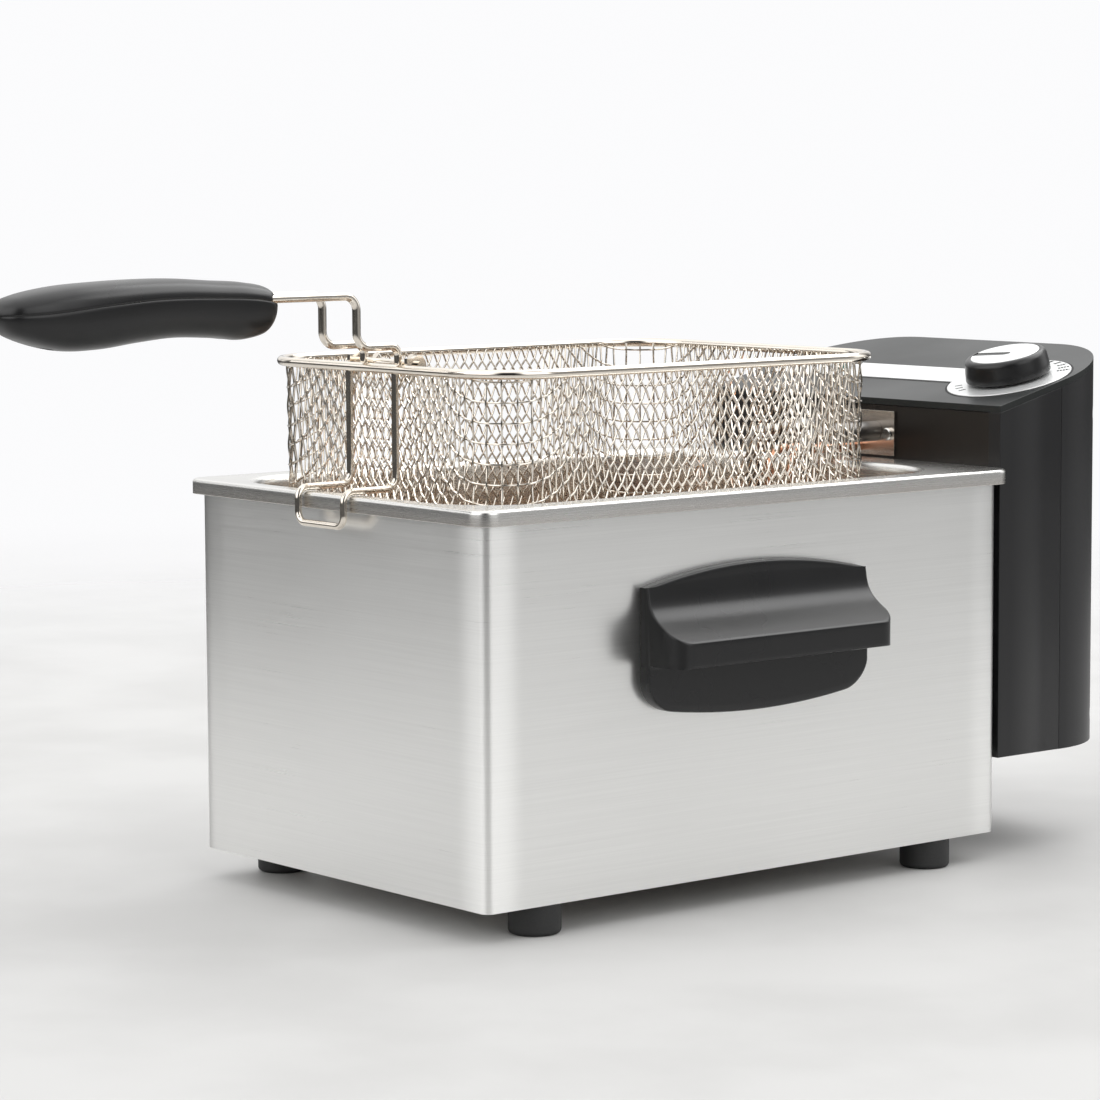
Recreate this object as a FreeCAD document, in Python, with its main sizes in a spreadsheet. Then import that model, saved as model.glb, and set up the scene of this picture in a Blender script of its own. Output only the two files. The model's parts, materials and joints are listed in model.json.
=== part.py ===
import FreeCAD, Part
import Sketcher
import math
import os
from FreeCAD import Rotation, Vector

# A household deep fryer: a stainless case, a lift-out oil pan, a wire basket with a folding handle,
# and a control head that hangs on the rear of the case with its heating element in the pan.
# Millimetres. The pieces are drawn about the middle of the case's footprint: X to the fryer's right,
# Y from the basket handle to the control head, Z up from the table. Each piece's Placement then moves
# it along Y, so that the origin is under the middle of the whole fryer.

SIZES = {
    # outer case
    "sheet": 0.8, "case_width": 200, "case_length": 290, "case_floor": 13, "case_top": 174.9,
    "case_bend": 4, "floor_flange": 24, "base_plate_thick": 1,
    # feet
    "foot_radius": 11, "foot_round": 2, "foot_inset_x": 11, "foot_inset_y": 33.5,
    "foot_screw_radius": 2, "foot_screw_head": 3.6, "foot_bore_depth": 8,
    # side handles
    "handle_length": 124, "handle_middle": -2, "handle_plate": 6, "handle_reach": 25,
    "ledge_corner": 9,
    "ledge_top": 118, "ledge_bottom": 107, "handle_low": 83, "handle_high": 146.5,
    "handle_low_end": 96, "handle_high_end": 139, "handle_screw_spread": 76,
    # oil pan
    "rim_overhang": 5, "rim_top": 176, "rim_skirt": 6.5, "rim_bend": 9, "rim_round": 1.6,
    "well_width": 178, "well_front": -139, "well_rear": 125, "well_floor": 30, "well_bend": 32,
    "well_floor_round": 20,
    # basket
    "rod": 4, "basket_half_width": 85, "basket_front": -126, "basket_rear": 96, "basket_bend": 30,
    "basket_rim_height": 227.5, "basket_bottom": 120, "mesh_thick": 1.2, "basket_bottom_round": 12,
    "hook_wire": 3, "hook_half_spread": 16, "hook_reach": -152.5, "hook_over_rim": 177.9,
    "hook_low": 163.5, "hook_bend": 4.5,
    # folding handle
    "handle_rod": 3.5, "handle_wire_offset": 12, "pivot_y": -116.87, "pivot_height": 229,
    "pivot_half_length": 23, "pivot_clearance": 0.08, "wire_low_height": 236.8,
    "wire_high_height": 258.2, "wire_drop_y": -142, "wire_bend": 6, "tang_end": -236,
    "lug_offset": 20, "lug_thick": 2, "grip_half_width": 16, "front_reach": 306.5,
    # control head
    "head_half_width": 96, "head_front": 150.5, "head_rear": 241, "head_bend": 50, "head_wall": 2.5,
    "head_floor": 45, "head_split": 190, "cover_front_height": 203.2, "cover_slope": 0.25,
    "cover_thick": 3, "front_opening": 177.4, "front_plate_thick": 1.5,
    "pocket_half_width": 31.5, "pocket_depth": 10, "pocket_top": 153.5, "rear_reach": 243.5,
    # rear bracket on the case
    "bracket_half_width": 28, "bracket_stand": 11, "bracket_sheet": 1.2, "bracket_low": 60,
    "bracket_high": 150, "bracket_flange": 14,
    # heating element and bulbs
    "element_tube": 7, "element_spread": 17, "element_over_rim": 188, "element_level": 42,
    "element_leg_y": 105, "element_bend": 9, "sleeve_radius": 4.6, "bulb_tube": 4, "bulb_radius": 3,
    "bulb_offset": 7, "bulb_over_rim": 180.5, "bulb_level": 50,
    # dial and knob
    "dial_x": 65, "dial_y": 188, "dial_radius": 28.6, "knob_radius": 19, "knob_gap": 1.5,
    "knob_height": 10.5, "shaft_radius": 3, "plate_thick": 1,
    # reset button
    "reset_x": -35, "reset_height": 100, "reset_radius": 3, "reset_proud": 1.5,
    # cord inlet
    "gland_x": 30, "gland_height": 62, "gland_radius": 9, "gland_bore": 4,
}

doc = FreeCAD.newDocument("deep_fryer")
sheet = doc.addObject("Spreadsheet::Sheet", "sizes")
for row, (alias, number) in enumerate(SIZES.items(), start=1):
    sheet.set("A%d" % row, alias)
    sheet.set("B%d" % row, str(number))
    sheet.setAlias("B%d" % row, alias)
doc.recompute()

nodes = []


# ---- helpers -------------------------------------------------------------------------------------

def sized(expression):
    """Spell a formula of sheet aliases the way an expression needs it: rod/2 -> sizes.rod/2."""
    words = []
    word = ""
    for letter in str(expression) + " ":
        if letter.isalnum() or letter in "_.":
            word += letter
            continue
        words.append("sizes." + word if word in SIZES else word)
        words.append(letter)
        word = ""
    return "".join(words).strip()


def value(expression):
    """The number that a formula of the sheet's aliases gives now."""
    return float(doc.getObject("sizes_reader").evalExpression(sized(expression)))


doc.addObject("App::FeaturePython", "sizes_reader")


def bind(item, **formulas):
    """Bind properties of an object to formulas of the sheet."""
    for name, formula in formulas.items():
        item.setExpression(name, sized(formula))


def put(item, x="0", y="0", z="0", rotation=None):
    """Turn an object, then bind its place to three formulas."""
    if rotation is not None:
        item.Placement = FreeCAD.Placement(Vector(), rotation)
    for axis, formula in (("x", x), ("y", y), ("z", z)):
        if str(formula) != "0":
            item.setExpression(".Placement.Base." + axis, sized(formula))
    return item


def node(label, item):
    """Take a finished object as one sub-part, and move it along Y to the fryer's own origin."""
    item.Label = label
    item.setExpression(".Placement.Base.y", sized("(front_reach - rear_reach)/2"))
    nodes.append((label, item))
    return item


def box(name, length, width, height, x, y, z):
    """A block from its lowest corner, every size a formula."""
    item = doc.addObject("Part::Box", name)
    bind(item, Length=length, Width=width, Height=height)
    return put(item, x, y, z)


ALONG = {
    "+Z": Rotation(), "-Z": Rotation(Vector(1, 0, 0), 180),
    "+Y": Rotation(Vector(1, 0, 0), -90), "-Y": Rotation(Vector(1, 0, 0), 90),
    "+X": Rotation(Vector(0, 1, 0), 90), "-X": Rotation(Vector(0, 1, 0), -90),
}


def cylinder(name, radius, height, x, y, z, along="+Z"):
    """A round bar that starts at a point and runs along one of the axes."""
    item = doc.addObject("Part::Cylinder", name)
    bind(item, Radius=radius, Height=height)
    return put(item, x, y, z, ALONG[along])


def ball(name, radius, x, y, z):
    item = doc.addObject("Part::Sphere", name)
    bind(item, Radius=radius)
    return put(item, x, y, z)


def joined(name, kind, pieces):
    item = doc.addObject(kind, name)
    item.Shapes = pieces
    return item


def fused(name, *pieces):
    return joined(name, "Part::MultiFuse", list(pieces))


def common(name, *pieces):
    return joined(name, "Part::MultiCommon", list(pieces))


def cut(name, base, *tools):
    """The base less all the tools."""
    item = doc.addObject("Part::Cut", name)
    item.Base = base
    item.Tool = tools[0] if len(tools) == 1 else fused(name + "_tools", *tools)
    return item


def group(name, pieces):
    """Identical fasteners, or pieces of one sub-part, kept as separate solids."""
    item = doc.addObject("Part::Compound", name)
    item.Links = pieces
    return item


def drawn(name, shape):
    """A shape that neither a sketch nor a primitive gives, such as a bent wire."""
    item = doc.addObject("Part::Feature", name)
    item.Shape = shape
    return item


# ---- sketched bodies -----------------------------------------------------------------------------

def new_body(name):
    return doc.addObject("PartDesign::Body", name)


def origin_plane(body, role):
    return [plane for plane in body.Origin.OriginFeatures if plane.Role == role][0]


def polygon_sketch(body, name, plane, points, offset="0"):
    """A closed outline on an origin plane, its corners bound to formulas of the sheet."""
    sketch = body.newObject("Sketcher::SketchObject", name)
    sketch.AttachmentSupport = [(origin_plane(body, plane), "")]
    sketch.MapMode = "FlatFace"
    sketch.setExpression(".AttachmentOffset.Base.z", sized(offset))
    corners = [Vector(value(a), value(b), 0) for a, b in points]
    count = len(corners)
    for index in range(count):
        sketch.addGeometry(Part.LineSegment(corners[index], corners[(index + 1) % count]), False)
    for index in range(count):
        sketch.addConstraint(Sketcher.Constraint("Coincident", index, 2, (index + 1) % count, 1))
    for index, formulas in enumerate(points):
        for kind, formula in zip(("DistanceX", "DistanceY"), formulas):
            number = sketch.addConstraint(
                Sketcher.Constraint(kind, -1, 1, index, 1, value(formula)))
            sketch.setExpression("Constraints[%d]" % number, sized(formula))
    return sketch


def rectangle(left, right, low, high):
    return [(left, low), (right, low), (right, high), (left, high)]


def padded(body, name, sketch, length, reverse=False, middle=False):
    pad = body.newObject("PartDesign::Pad", name)
    pad.Profile = sketch
    bind(pad, Length=length)
    pad.Reversed = reverse
    pad.Midplane = middle
    doc.recompute()
    return pad


def rounded(body, name, radius, pick):
    """Round the edges of the body's last feature that the test picks."""
    base = body.Tip
    names = ["Edge%d" % number for number, edge in enumerate(base.Shape.Edges, start=1) if pick(edge)]
    if not names:
        raise RuntimeError(name + " finds no edge")
    fillet = body.newObject("PartDesign::Fillet", name)
    fillet.Base = (base, names)
    bind(fillet, Radius=radius)
    doc.recompute()
    return fillet


def upright(edge):
    """Whether an edge is a vertical line."""
    ends = [vertex.Point for vertex in edge.Vertexes]
    return len(ends) == 2 and (ends[0] - ends[1]).cross(Vector(0, 0, 1)).Length < 0.001


def level_at(z):
    """Picks every edge that lies in one level plane."""
    def pick(edge):
        return abs(edge.BoundBox.ZMin - z) < 0.01 and abs(edge.BoundBox.ZMax - z) < 0.01
    return pick


def rounded_block(name, sides, low, high, bend, foot_round=None, top_round=None):
    """An upright block with rounded corners, and with its lower or upper edge rounded when asked."""
    body = new_body(name)
    outline = polygon_sketch(body, name + "_outline", "XY_Plane", rectangle(*sides), low)
    padded(body, name + "_block", outline, "%s - (%s)" % (high, low))
    rounded(body, name + "_corners", bend, upright)
    if foot_round is not None:
        rounded(body, name + "_foot", foot_round, level_at(value(low)))
    if top_round is not None:
        rounded(body, name + "_top", top_round, level_at(value(high)))
    return body


# ---- bent wires ----------------------------------------------------------------------------------

def bent_path(points, bend):
    """Straight runs joined by tangent arcs of one radius, as one wire."""
    edges = []
    start = points[0]
    for before, corner, after in zip(points, points[1:], points[2:]):
        inward = (before - corner).normalize()
        onward = (after - corner).normalize()
        half_turn = (math.pi - inward.getAngle(onward)) / 2
        reach = bend * math.tan(half_turn)
        first = corner + inward * reach
        last = corner + onward * reach
        middle_way = (inward + onward).normalize()
        centre = corner + middle_way * (bend / math.cos(half_turn))
        middle = centre - middle_way * bend
        edges.append(Part.LineSegment(start, first).toShape())
        edges.append(Part.Arc(first, middle, last).toShape())
        start = last
    edges.append(Part.LineSegment(start, points[-1]).toShape())
    return edges


def tube_along(edges, radius):
    """A round bar swept along a chain of edges."""
    path = Part.Wire(edges)
    first = path.Edges[0]
    start = first.valueAt(first.FirstParameter)
    heading = first.tangentAt(first.FirstParameter)
    ring = Part.Wire([Part.makeCircle(radius, start, heading)])
    return path.makePipeShell([ring], True, False)


def checked_wire(name, edges, radius):
    """The swept bar, after its volume is compared with its section times its length."""
    shape = tube_along(edges, radius)
    length = sum(edge.Length for edge in edges)
    ratio = shape.Volume / (math.pi * radius ** 2 * length)
    if abs(ratio - 1) > 0.01:
        raise RuntimeError("%s has %.3f of its volume" % (name, ratio))
    return drawn(name, shape)


def mirrored_x(point):
    return Vector(-point.x, point.y, point.z)


# ---- outer case ----------------------------------------------------------------------------------

def inset_sides(width, length, inset="0"):
    """Left, right, front and rear of a rectangle about the middle of the case, drawn in by an inset."""
    return ("%s - %s/2" % (inset, width), "%s/2 - %s" % (width, inset),
            "%s - %s/2" % (inset, length), "%s/2 - %s" % (length, inset))


def make_outer_case():
    """Four walls bent from one sheet, with the floor's edges folded in."""
    block = rounded_block("case_block", inset_sides("case_width", "case_length"), "case_floor", "case_top",
                          "case_bend")
    space = rounded_block("case_space", inset_sides("case_width", "case_length", "sheet"),
                          "case_floor + sheet", "case_top + 5", "case_bend - sheet")
    opening = box("case_floor_opening", "case_width - 2*floor_flange", "case_length - 2*floor_flange", "5",
                  "floor_flange - case_width/2", "floor_flange - case_length/2", "case_floor - 2")
    return cut("case_drilled", block, space, opening,
               *(foot_screw_bores("case", "case_floor - 1", "4*sheet")
                 + handle_screw_bores("case") + rivet_bores("case")))


FOOT_SIDES = {"foot_front_left": (-1, -1), "foot_front_right": (1, -1),
              "foot_rear_left": (-1, 1), "foot_rear_right": (1, 1)}


def foot_place(side):
    """Formulas for the middle of a foot."""
    return ("%d*(case_width/2 - foot_inset_x)" % side[0], "%d*(case_length/2 - foot_inset_y)" % side[1])


def foot_screw_bores(owner, low, height):
    """Clearance bores for the four foot screws."""
    bores = []
    for label, side in FOOT_SIDES.items():
        x, y = foot_place(side)
        bores.append(cylinder("%s_bore_%s" % (owner, label), "foot_screw_radius + 0.15", height, x, y, low))
    return bores


def make_base_plate():
    plate = rounded_block("base_sheet", inset_sides("case_width", "case_length", "1.2*sheet"),
                          "case_floor + sheet", "case_floor + sheet + base_plate_thick", "case_bend")
    return cut("base_drilled", plate, *foot_screw_bores("base", "case_floor", "3*sheet"))


def make_foot(label, side):
    """A turned foot: rounded at the table, with a stepped bore for its screw."""
    x, y = foot_place(side)
    body = new_body(label + "_body")
    profile = polygon_sketch(body, label + "_profile", "XZ_Plane", [
        ("foot_screw_radius + 0.15", "foot_bore_depth"), ("foot_screw_radius + 0.15", "case_floor"),
        ("foot_radius", "case_floor"), ("foot_radius", "0"),
        ("foot_screw_head + 0.4", "0"), ("foot_screw_head + 0.4", "foot_bore_depth")])
    turned = body.newObject("PartDesign::Revolution", label + "_turned")
    turned.Profile = profile
    turned.ReferenceAxis = (profile, ["V_Axis"])
    turned.Angle = 360
    doc.recompute()
    rim = value("foot_radius")
    rounded(body, label + "_round", "foot_round",
            lambda edge: level_at(0)(edge) and edge.BoundBox.XMax > rim - 0.1)
    put(body, x, y)
    return group(label + "_piece", [body])


def make_foot_screws():
    """Pan-head screws from under each foot, with a cross recess."""
    screws = []
    for label, side in FOOT_SIDES.items():
        x, y = foot_place(side)
        shank = cylinder(label + "_shank", "foot_screw_radius", "11", x, y, "foot_bore_depth")
        head = cylinder(label + "_head", "foot_screw_head", "2.4", x, y, "foot_bore_depth - 2.4")
        slot = box(label + "_slot", "4", "0.9", "1.6", x + " - 2", y + " - 0.45", "foot_bore_depth - 3")
        cross = box(label + "_cross", "0.9", "4", "1.6", x + " - 0.45", y + " - 2", "foot_bore_depth - 3")
        screws.append(cut(label + "_screw", fused(label + "_screw_blank", shank, head), slot, cross))
    return group("foot_screw_set", screws)


def make_foot_nuts():
    nuts = []
    for label, side in FOOT_SIDES.items():
        x, y = foot_place(side)
        prism = doc.addObject("Part::Prism", label + "_hexagon")
        prism.Polygon = 6
        bind(prism, Circumradius="2*foot_screw_radius", Height="3")
        put(prism, x, y, "case_floor + sheet + base_plate_thick")
        bore = cylinder(label + "_nut_bore", "foot_screw_radius", "4", x, y, "case_floor + sheet")
        nuts.append(cut(label + "_nut", prism, bore))
    return group("foot_nut_set", nuts)


# ---- side handles --------------------------------------------------------------------------------

def side_handle_screw_places():
    """Where the four handle screws pass the case's walls: side, and formula for y."""
    return [(side, "handle_middle + %d*handle_screw_spread/2" % end) for side in (-1, 1) for end in (-1, 1)]


HANDLE_SCREW_HEIGHT = "ledge_top - 6"


def handle_screw_bores(owner):
    bores = []
    for number, (side, y) in enumerate(side_handle_screw_places()):
        along = "+X" if side > 0 else "-X"
        bores.append(cylinder("%s_handle_bore_%d" % (owner, number), "2.1", "14",
                              "%d*(case_width/2 - 3)" % side, y, HANDLE_SCREW_HEIGHT, along))
    return bores


def make_handle_screws():
    screws = []
    for number, (side, y) in enumerate(side_handle_screw_places()):
        along = "+X" if side > 0 else "-X"
        inner = "%d*(case_width/2 - sheet)" % side
        shank = cylinder("handle_shank_%d" % number, "2", "11", inner, y, HANDLE_SCREW_HEIGHT, along)
        head = cylinder("handle_head_%d" % number, "3.8", "2.4", "%d*(case_width/2 - sheet - 2.4)" % side,
                        y, HANDLE_SCREW_HEIGHT, along)
        screws.append(fused("handle_screw_%d" % number, shank, head))
    return group("handle_screw_set", screws)


def make_side_handle(label, side):
    """A ledge that sweeps out of an arched back plate: the common part of three outlines."""
    wall = value("case_width/2")
    plate, reach = value("handle_plate"), value("handle_reach")
    low, high = value("handle_low"), value("handle_high")
    top, bottom = value("ledge_top"), value("ledge_bottom")
    middle, half = value("handle_middle"), value("handle_length/2")
    # the section across the fryer: back plate, concave sweep, upright lip, flat underside
    section = [Vector(wall, 0, low), Vector(wall, 0, high), Vector(wall + plate - 1, 0, high),
               Vector(wall + plate, 0, top + 16), Vector(wall + reach - 0.5, 0, top - 0.4),
               Vector(wall + reach, 0, bottom), Vector(wall + plate, 0, bottom - 1),
               Vector(wall + plate, 0, low)]
    sweep_middle = Vector(wall + plate + 5.3, 0, top + 7.8)
    edges = []
    for index, corner in enumerate(section):
        after = section[(index + 1) % len(section)]
        if index == 3:
            edges.append(Part.Arc(corner, sweep_middle, after).toShape())
        else:
            edges.append(Part.LineSegment(corner, after).toShape())
    across = drawn(label + "_section",
                   Part.Face(Part.Wire(edges)).extrude(Vector(0, 2 * half, 0)))
    across.Placement.Base = Vector(0, middle - half, 0)
    # the outline seen from the side: both long edges arched, lower corners round
    low_end, high_end = value("handle_low_end"), value("handle_high_end")
    ends = [middle - half, middle + half]
    arch = [Part.Arc(Vector(0, ends[0], high_end), Vector(0, middle, high),
                     Vector(0, ends[1], high_end)).toShape(),
            Part.LineSegment(Vector(0, ends[1], high_end), Vector(0, ends[1], low_end)).toShape(),
            Part.Arc(Vector(0, ends[1], low_end), Vector(0, ends[1] - 4, low_end - 6.5),
                     Vector(0, ends[1] - 12, low_end - 9)).toShape(),
            Part.Arc(Vector(0, ends[1] - 12, low_end - 9), Vector(0, middle, low),
                     Vector(0, ends[0] + 12, low_end - 9)).toShape(),
            Part.Arc(Vector(0, ends[0] + 12, low_end - 9), Vector(0, ends[0] + 4, low_end - 6.5),
                     Vector(0, ends[0], low_end)).toShape(),
            Part.LineSegment(Vector(0, ends[0], low_end), Vector(0, ends[0], high_end)).toShape()]
    front = drawn(label + "_front",
                  Part.Face(Part.Wire(arch)).extrude(Vector(wall + 2 * reach, 0, 0)))
    # the outline seen from above: the ledge's two outer corners are round
    turn = value("ledge_corner")
    knee = turn * (1 - math.sqrt(0.5))
    face = wall + reach
    plan = [Part.LineSegment(Vector(wall, ends[0], 0), Vector(wall, ends[1], 0)).toShape(),
            Part.LineSegment(Vector(wall, ends[1], 0), Vector(face - turn, ends[1], 0)).toShape(),
            Part.Arc(Vector(face - turn, ends[1], 0), Vector(face - knee, ends[1] - knee, 0),
                     Vector(face, ends[1] - turn, 0)).toShape(),
            Part.LineSegment(Vector(face, ends[1] - turn, 0), Vector(face, ends[0] + turn, 0)).toShape(),
            Part.Arc(Vector(face, ends[0] + turn, 0), Vector(face - knee, ends[0] + knee, 0),
                     Vector(face - turn, ends[0], 0)).toShape(),
            Part.LineSegment(Vector(face - turn, ends[0], 0), Vector(wall, ends[0], 0)).toShape()]
    above = drawn(label + "_plan", Part.Face(Part.Wire(plan)).extrude(Vector(0, 0, 2 * high)))
    blank = common(label + "_blank", across, front, above)
    drilled = cut(label + "_drilled", blank, *[
        cylinder("%s_screw_bore_%d" % (label, end), "2", "10.4", "case_width/2 - 0.2",
                 "handle_middle + %d*handle_screw_spread/2" % end, HANDLE_SCREW_HEIGHT, "+X")
        for end in (-1, 1)])
    if side > 0:
        return group(label + "_piece", [drilled])
    mirror = doc.addObject("Part::Mirroring", label + "_mirror")
    mirror.Source = drilled
    mirror.Normal = Vector(1, 0, 0)
    return group(label + "_piece", [mirror])


# ---- rear bracket --------------------------------------------------------------------------------

RIVET_PLACES = [(side, height) for side in (-1, 1) for height in (75, 135)]


def rivet_bores(owner):
    return [cylinder("%s_rivet_bore_%d" % (owner, number), "1.6", "8",
                     "%d*(bracket_half_width + bracket_flange/2)" % side, "case_length/2 - 4", height, "+Y")
            for number, (side, height) in enumerate(RIVET_PLACES)]


def make_guide_bracket():
    """A hat section: two flanges on the case's rear wall and a web that stands clear of the rim."""
    tall = "bracket_high - bracket_low"
    pieces = [box("bracket_web", "2*bracket_half_width", "bracket_sheet", tall, "-bracket_half_width",
                  "case_length/2 + bracket_stand", "bracket_low")]
    for side, name in ((-1, "left"), (1, "right")):
        inner = "-bracket_half_width" if side < 0 else "bracket_half_width - bracket_sheet"
        outer = "-bracket_half_width - bracket_flange" if side < 0 else "bracket_half_width - bracket_sheet"
        pieces.append(box("bracket_wall_" + name, "bracket_sheet", "bracket_stand + bracket_sheet", tall,
                          inner, "case_length/2", "bracket_low"))
        pieces.append(box("bracket_flange_" + name, "bracket_flange + bracket_sheet", "bracket_sheet", tall,
                          outer, "case_length/2", "bracket_low"))
    return cut("bracket_drilled", fused("bracket_blank", *pieces), *rivet_bores("bracket"))


def make_bracket_rivets():
    rivets = []
    for number, (side, height) in enumerate(RIVET_PLACES):
        x = "%d*(bracket_half_width + bracket_flange/2)" % side
        shank = cylinder("rivet_shank_%d" % number, "1.6", "3.4", x, "case_length/2 - 2", height, "+Y")
        outer, inner = "case_length/2 + bracket_sheet", "case_length/2 - sheet - 1.2"
        head = cylinder("rivet_head_%d" % number, "3", "1.2", x, outer, height, "+Y")
        tail = cylinder("rivet_tail_%d" % number, "2.6", "1.2", x, inner, height, "+Y")
        rivets.append(fused("rivet_%d" % number, shank, head, tail))
    return group("rivet_set", rivets)


# ---- oil pan -------------------------------------------------------------------------------------

def make_oil_pan():
    """Deep-drawn from one sheet: a well, a wide flange at the rear, and a skirt over the case's edge."""
    width, length = "(case_width + 2*rim_overhang)", "(case_length + 2*rim_overhang)"
    rim = rounded_block("rim_block", inset_sides(width, length), "rim_top - rim_skirt", "rim_top", "rim_bend",
                        top_round="rim_round")
    under = rounded_block("rim_under", inset_sides(width, length, "sheet"), "rim_top - rim_skirt - 3",
                          "rim_top - sheet", "rim_bend - sheet")
    well = rounded_block("well_block", ("-well_width/2 - sheet", "well_width/2 + sheet",
                                        "well_front - sheet", "well_rear + sheet"),
                         "well_floor - sheet", "rim_top - sheet/2", "well_bend + sheet",
                         foot_round="well_floor_round + sheet")
    oil_space = rounded_block("oil_space", ("-well_width/2", "well_width/2", "well_front", "well_rear"),
                              "well_floor", "rim_top + 5", "well_bend", foot_round="well_floor_round")
    return cut("pan_sheet", fused("pan_blank", cut("rim_sheet", rim, under), well), oil_space)


# ---- basket --------------------------------------------------------------------------------------

def mesh_sides(inset):
    """Left, right, front and rear of the basket's wall, drawn in by an inset."""
    return ("%s + rod/2 - basket_half_width" % inset, "basket_half_width - rod/2 - %s" % inset,
            "basket_front + rod/2 + %s" % inset, "basket_rear - rod/2 - %s" % inset)


def make_basket_mesh():
    """The woven wire as a thin closed wall of its true outer shape, open at the top."""
    wall = rounded_block("mesh_wall", mesh_sides("0"), "basket_bottom", "basket_rim_height",
                         "basket_bend - rod/2", foot_round="basket_bottom_round")
    space = rounded_block("mesh_space", mesh_sides("mesh_thick"), "basket_bottom + mesh_thick",
                          "basket_rim_height + 5", "basket_bend - rod/2 - mesh_thick",
                          foot_round="basket_bottom_round - mesh_thick")
    return cut("basket_wall", wall, space)


def compass(angle):
    """A level unit vector at an angle in degrees from X."""
    return Vector(math.cos(math.radians(angle)), math.sin(math.radians(angle)), 0)


def make_basket_rim():
    """The heavy rim rod: a rounded rectangle of round bar."""
    half, bend = value("basket_half_width"), value("basket_bend")
    front, rear, height = value("basket_front"), value("basket_rear"), value("basket_rim_height")
    centres = [(half - bend, rear - bend, 0), (bend - half, rear - bend, 90),
               (bend - half, front + bend, 180), (half - bend, front + bend, 270)]
    bars = []
    radius = value("rod/2")
    for index, (x, y, angle) in enumerate(centres):
        middle = Vector(x, y, height)
        arc = Part.makeCircle(bend, middle, Vector(0, 0, 1), angle, angle + 90)
        start = middle + compass(angle + 90) * bend
        after_x, after_y, after_angle = centres[(index + 1) % 4]
        end = Vector(after_x, after_y, height) + compass(after_angle) * bend
        bars.append(tube_along([arc], radius))
        bars.append(Part.makeCylinder(radius, (end - start).Length, start, end - start))
    return drawn("rim_rod", bars[0].multiFuse(bars[1:]).removeSplitter())


def make_rest_hook():
    """One wire: down the front wall, out over the pan's rim, down, across, and back the same way."""
    radius, spread = value("hook_wire/2"), value("hook_half_spread")
    wall = value("basket_front + rod/2 - hook_wire/2")
    over, low, reach = value("hook_over_rim"), value("hook_low"), value("hook_reach")
    side = [Vector(spread, wall, value("basket_rim_height - rod/2")), Vector(spread, wall, over),
            Vector(spread, reach, over), Vector(spread, reach, low)]
    points = side + [mirrored_x(point) for point in reversed(side)]
    return checked_wire("rest_hook_wire", bent_path(points, value("hook_bend")), radius)


def make_pivot_rod():
    return group("pivot_rod_piece", [
        cylinder("pivot_bar", "rod/2", "2*pivot_half_length", "-pivot_half_length", "pivot_y", "pivot_height",
                 "+X")])


def make_pivot_lugs():
    """Two small plates welded inside the front wall, which hold the pivot rod."""
    lugs = []
    inner = "basket_front + rod/2 + mesh_thick"
    for side, name in ((-1, "left"), (1, "right")):
        x = "%d*lug_offset - lug_thick/2" % side
        plate = box("lug_plate_" + name, "lug_thick", "pivot_y - (%s)" % inner, "10", x, inner,
                    "pivot_height - 7")
        eye = cylinder("lug_eye_" + name, "rod/2 + 2", "lug_thick", x, "pivot_y", "pivot_height", "+X")
        bore = cylinder("lug_bore_" + name, "rod/2", "lug_thick + 2", x + " - 1", "pivot_y", "pivot_height",
                        "+X")
        lugs.append(cut("lug_" + name, fused("lug_blank_" + name, plate, eye), bore))
    return group("pivot_lug_set", lugs)


# ---- folding handle ------------------------------------------------------------------------------

def handle_wire_edges():
    """The whole wire: curled round the pivot, over the rim, up, into the grip, and back the same way."""
    offset, pivot_y, pivot_z = value("handle_wire_offset"), value("pivot_y"), value("pivot_height")
    curl = value("rod/2 + pivot_clearance + handle_rod/2")
    low, high, drop = value("wire_low_height"), value("wire_high_height"), value("wire_drop_y")
    bend = value("wire_bend")
    curl_start = Vector(offset, pivot_y - curl, pivot_z)
    side = [curl_start, Vector(offset, pivot_y - curl, low), Vector(offset, drop, low),
            Vector(offset, drop, high), Vector(offset, value("tang_end"), high)]
    points = side + [mirrored_x(point) for point in reversed(side)]
    # the first bend is a tight one, so the wire is drawn in three stretches
    tight = 4
    first = bent_path(points[:3], tight)
    middle = bent_path([first[-1].valueAt(first[-1].FirstParameter)] + points[2:8]
                       + [mirrored_x(first[-1].valueAt(first[-1].FirstParameter))], bend)
    ends = []
    for side_x in (offset, -offset):
        quarter = Vector(side_x, pivot_y, pivot_z - curl)
        finish = Vector(side_x, pivot_y + curl * math.cos(0.9), pivot_z + curl * math.sin(0.9))
        rear = Vector(side_x, pivot_y + curl * math.cos(-0.785), pivot_z + curl * math.sin(-0.785))
        start = Vector(side_x, pivot_y - curl, pivot_z)
        low_left = Vector(side_x, pivot_y - curl * math.cos(0.785), pivot_z - curl * math.sin(0.785))
        ends.append([Part.Arc(start, low_left, quarter).toShape(), Part.Arc(quarter, rear, finish).toShape()])
    chain = ends[0] + first[:-1] + middle
    mirror = [edge.copy().mirror(Vector(), Vector(1, 0, 0)) for edge in first[:-1]]
    return Part.__sortEdges__(chain + mirror + ends[1])


def make_handle_wire():
    return checked_wire("handle_wire_bar", handle_wire_edges(), value("handle_rod/2"))


# the grip's section at stations along its length: place, top height, bottom height, share of half width
GRIP_STATIONS = [(-306.5, 259.5, 250.0, 0.42), (-303, 261.6, 247.4, 0.62), (-293, 264.2, 242.8, 0.86),
                 (-276, 266.4, 239.9, 0.98), (-250, 267.8, 240.8, 1.0), (-225, 267.6, 243.4, 0.96),
                 (-203, 266.2, 242.4, 0.93), (-190, 265.2, 241.8, 0.93), (-181, 262.6, 245.4, 0.84),
                 (-178, 260.0, 250.0, 0.66)]


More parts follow.
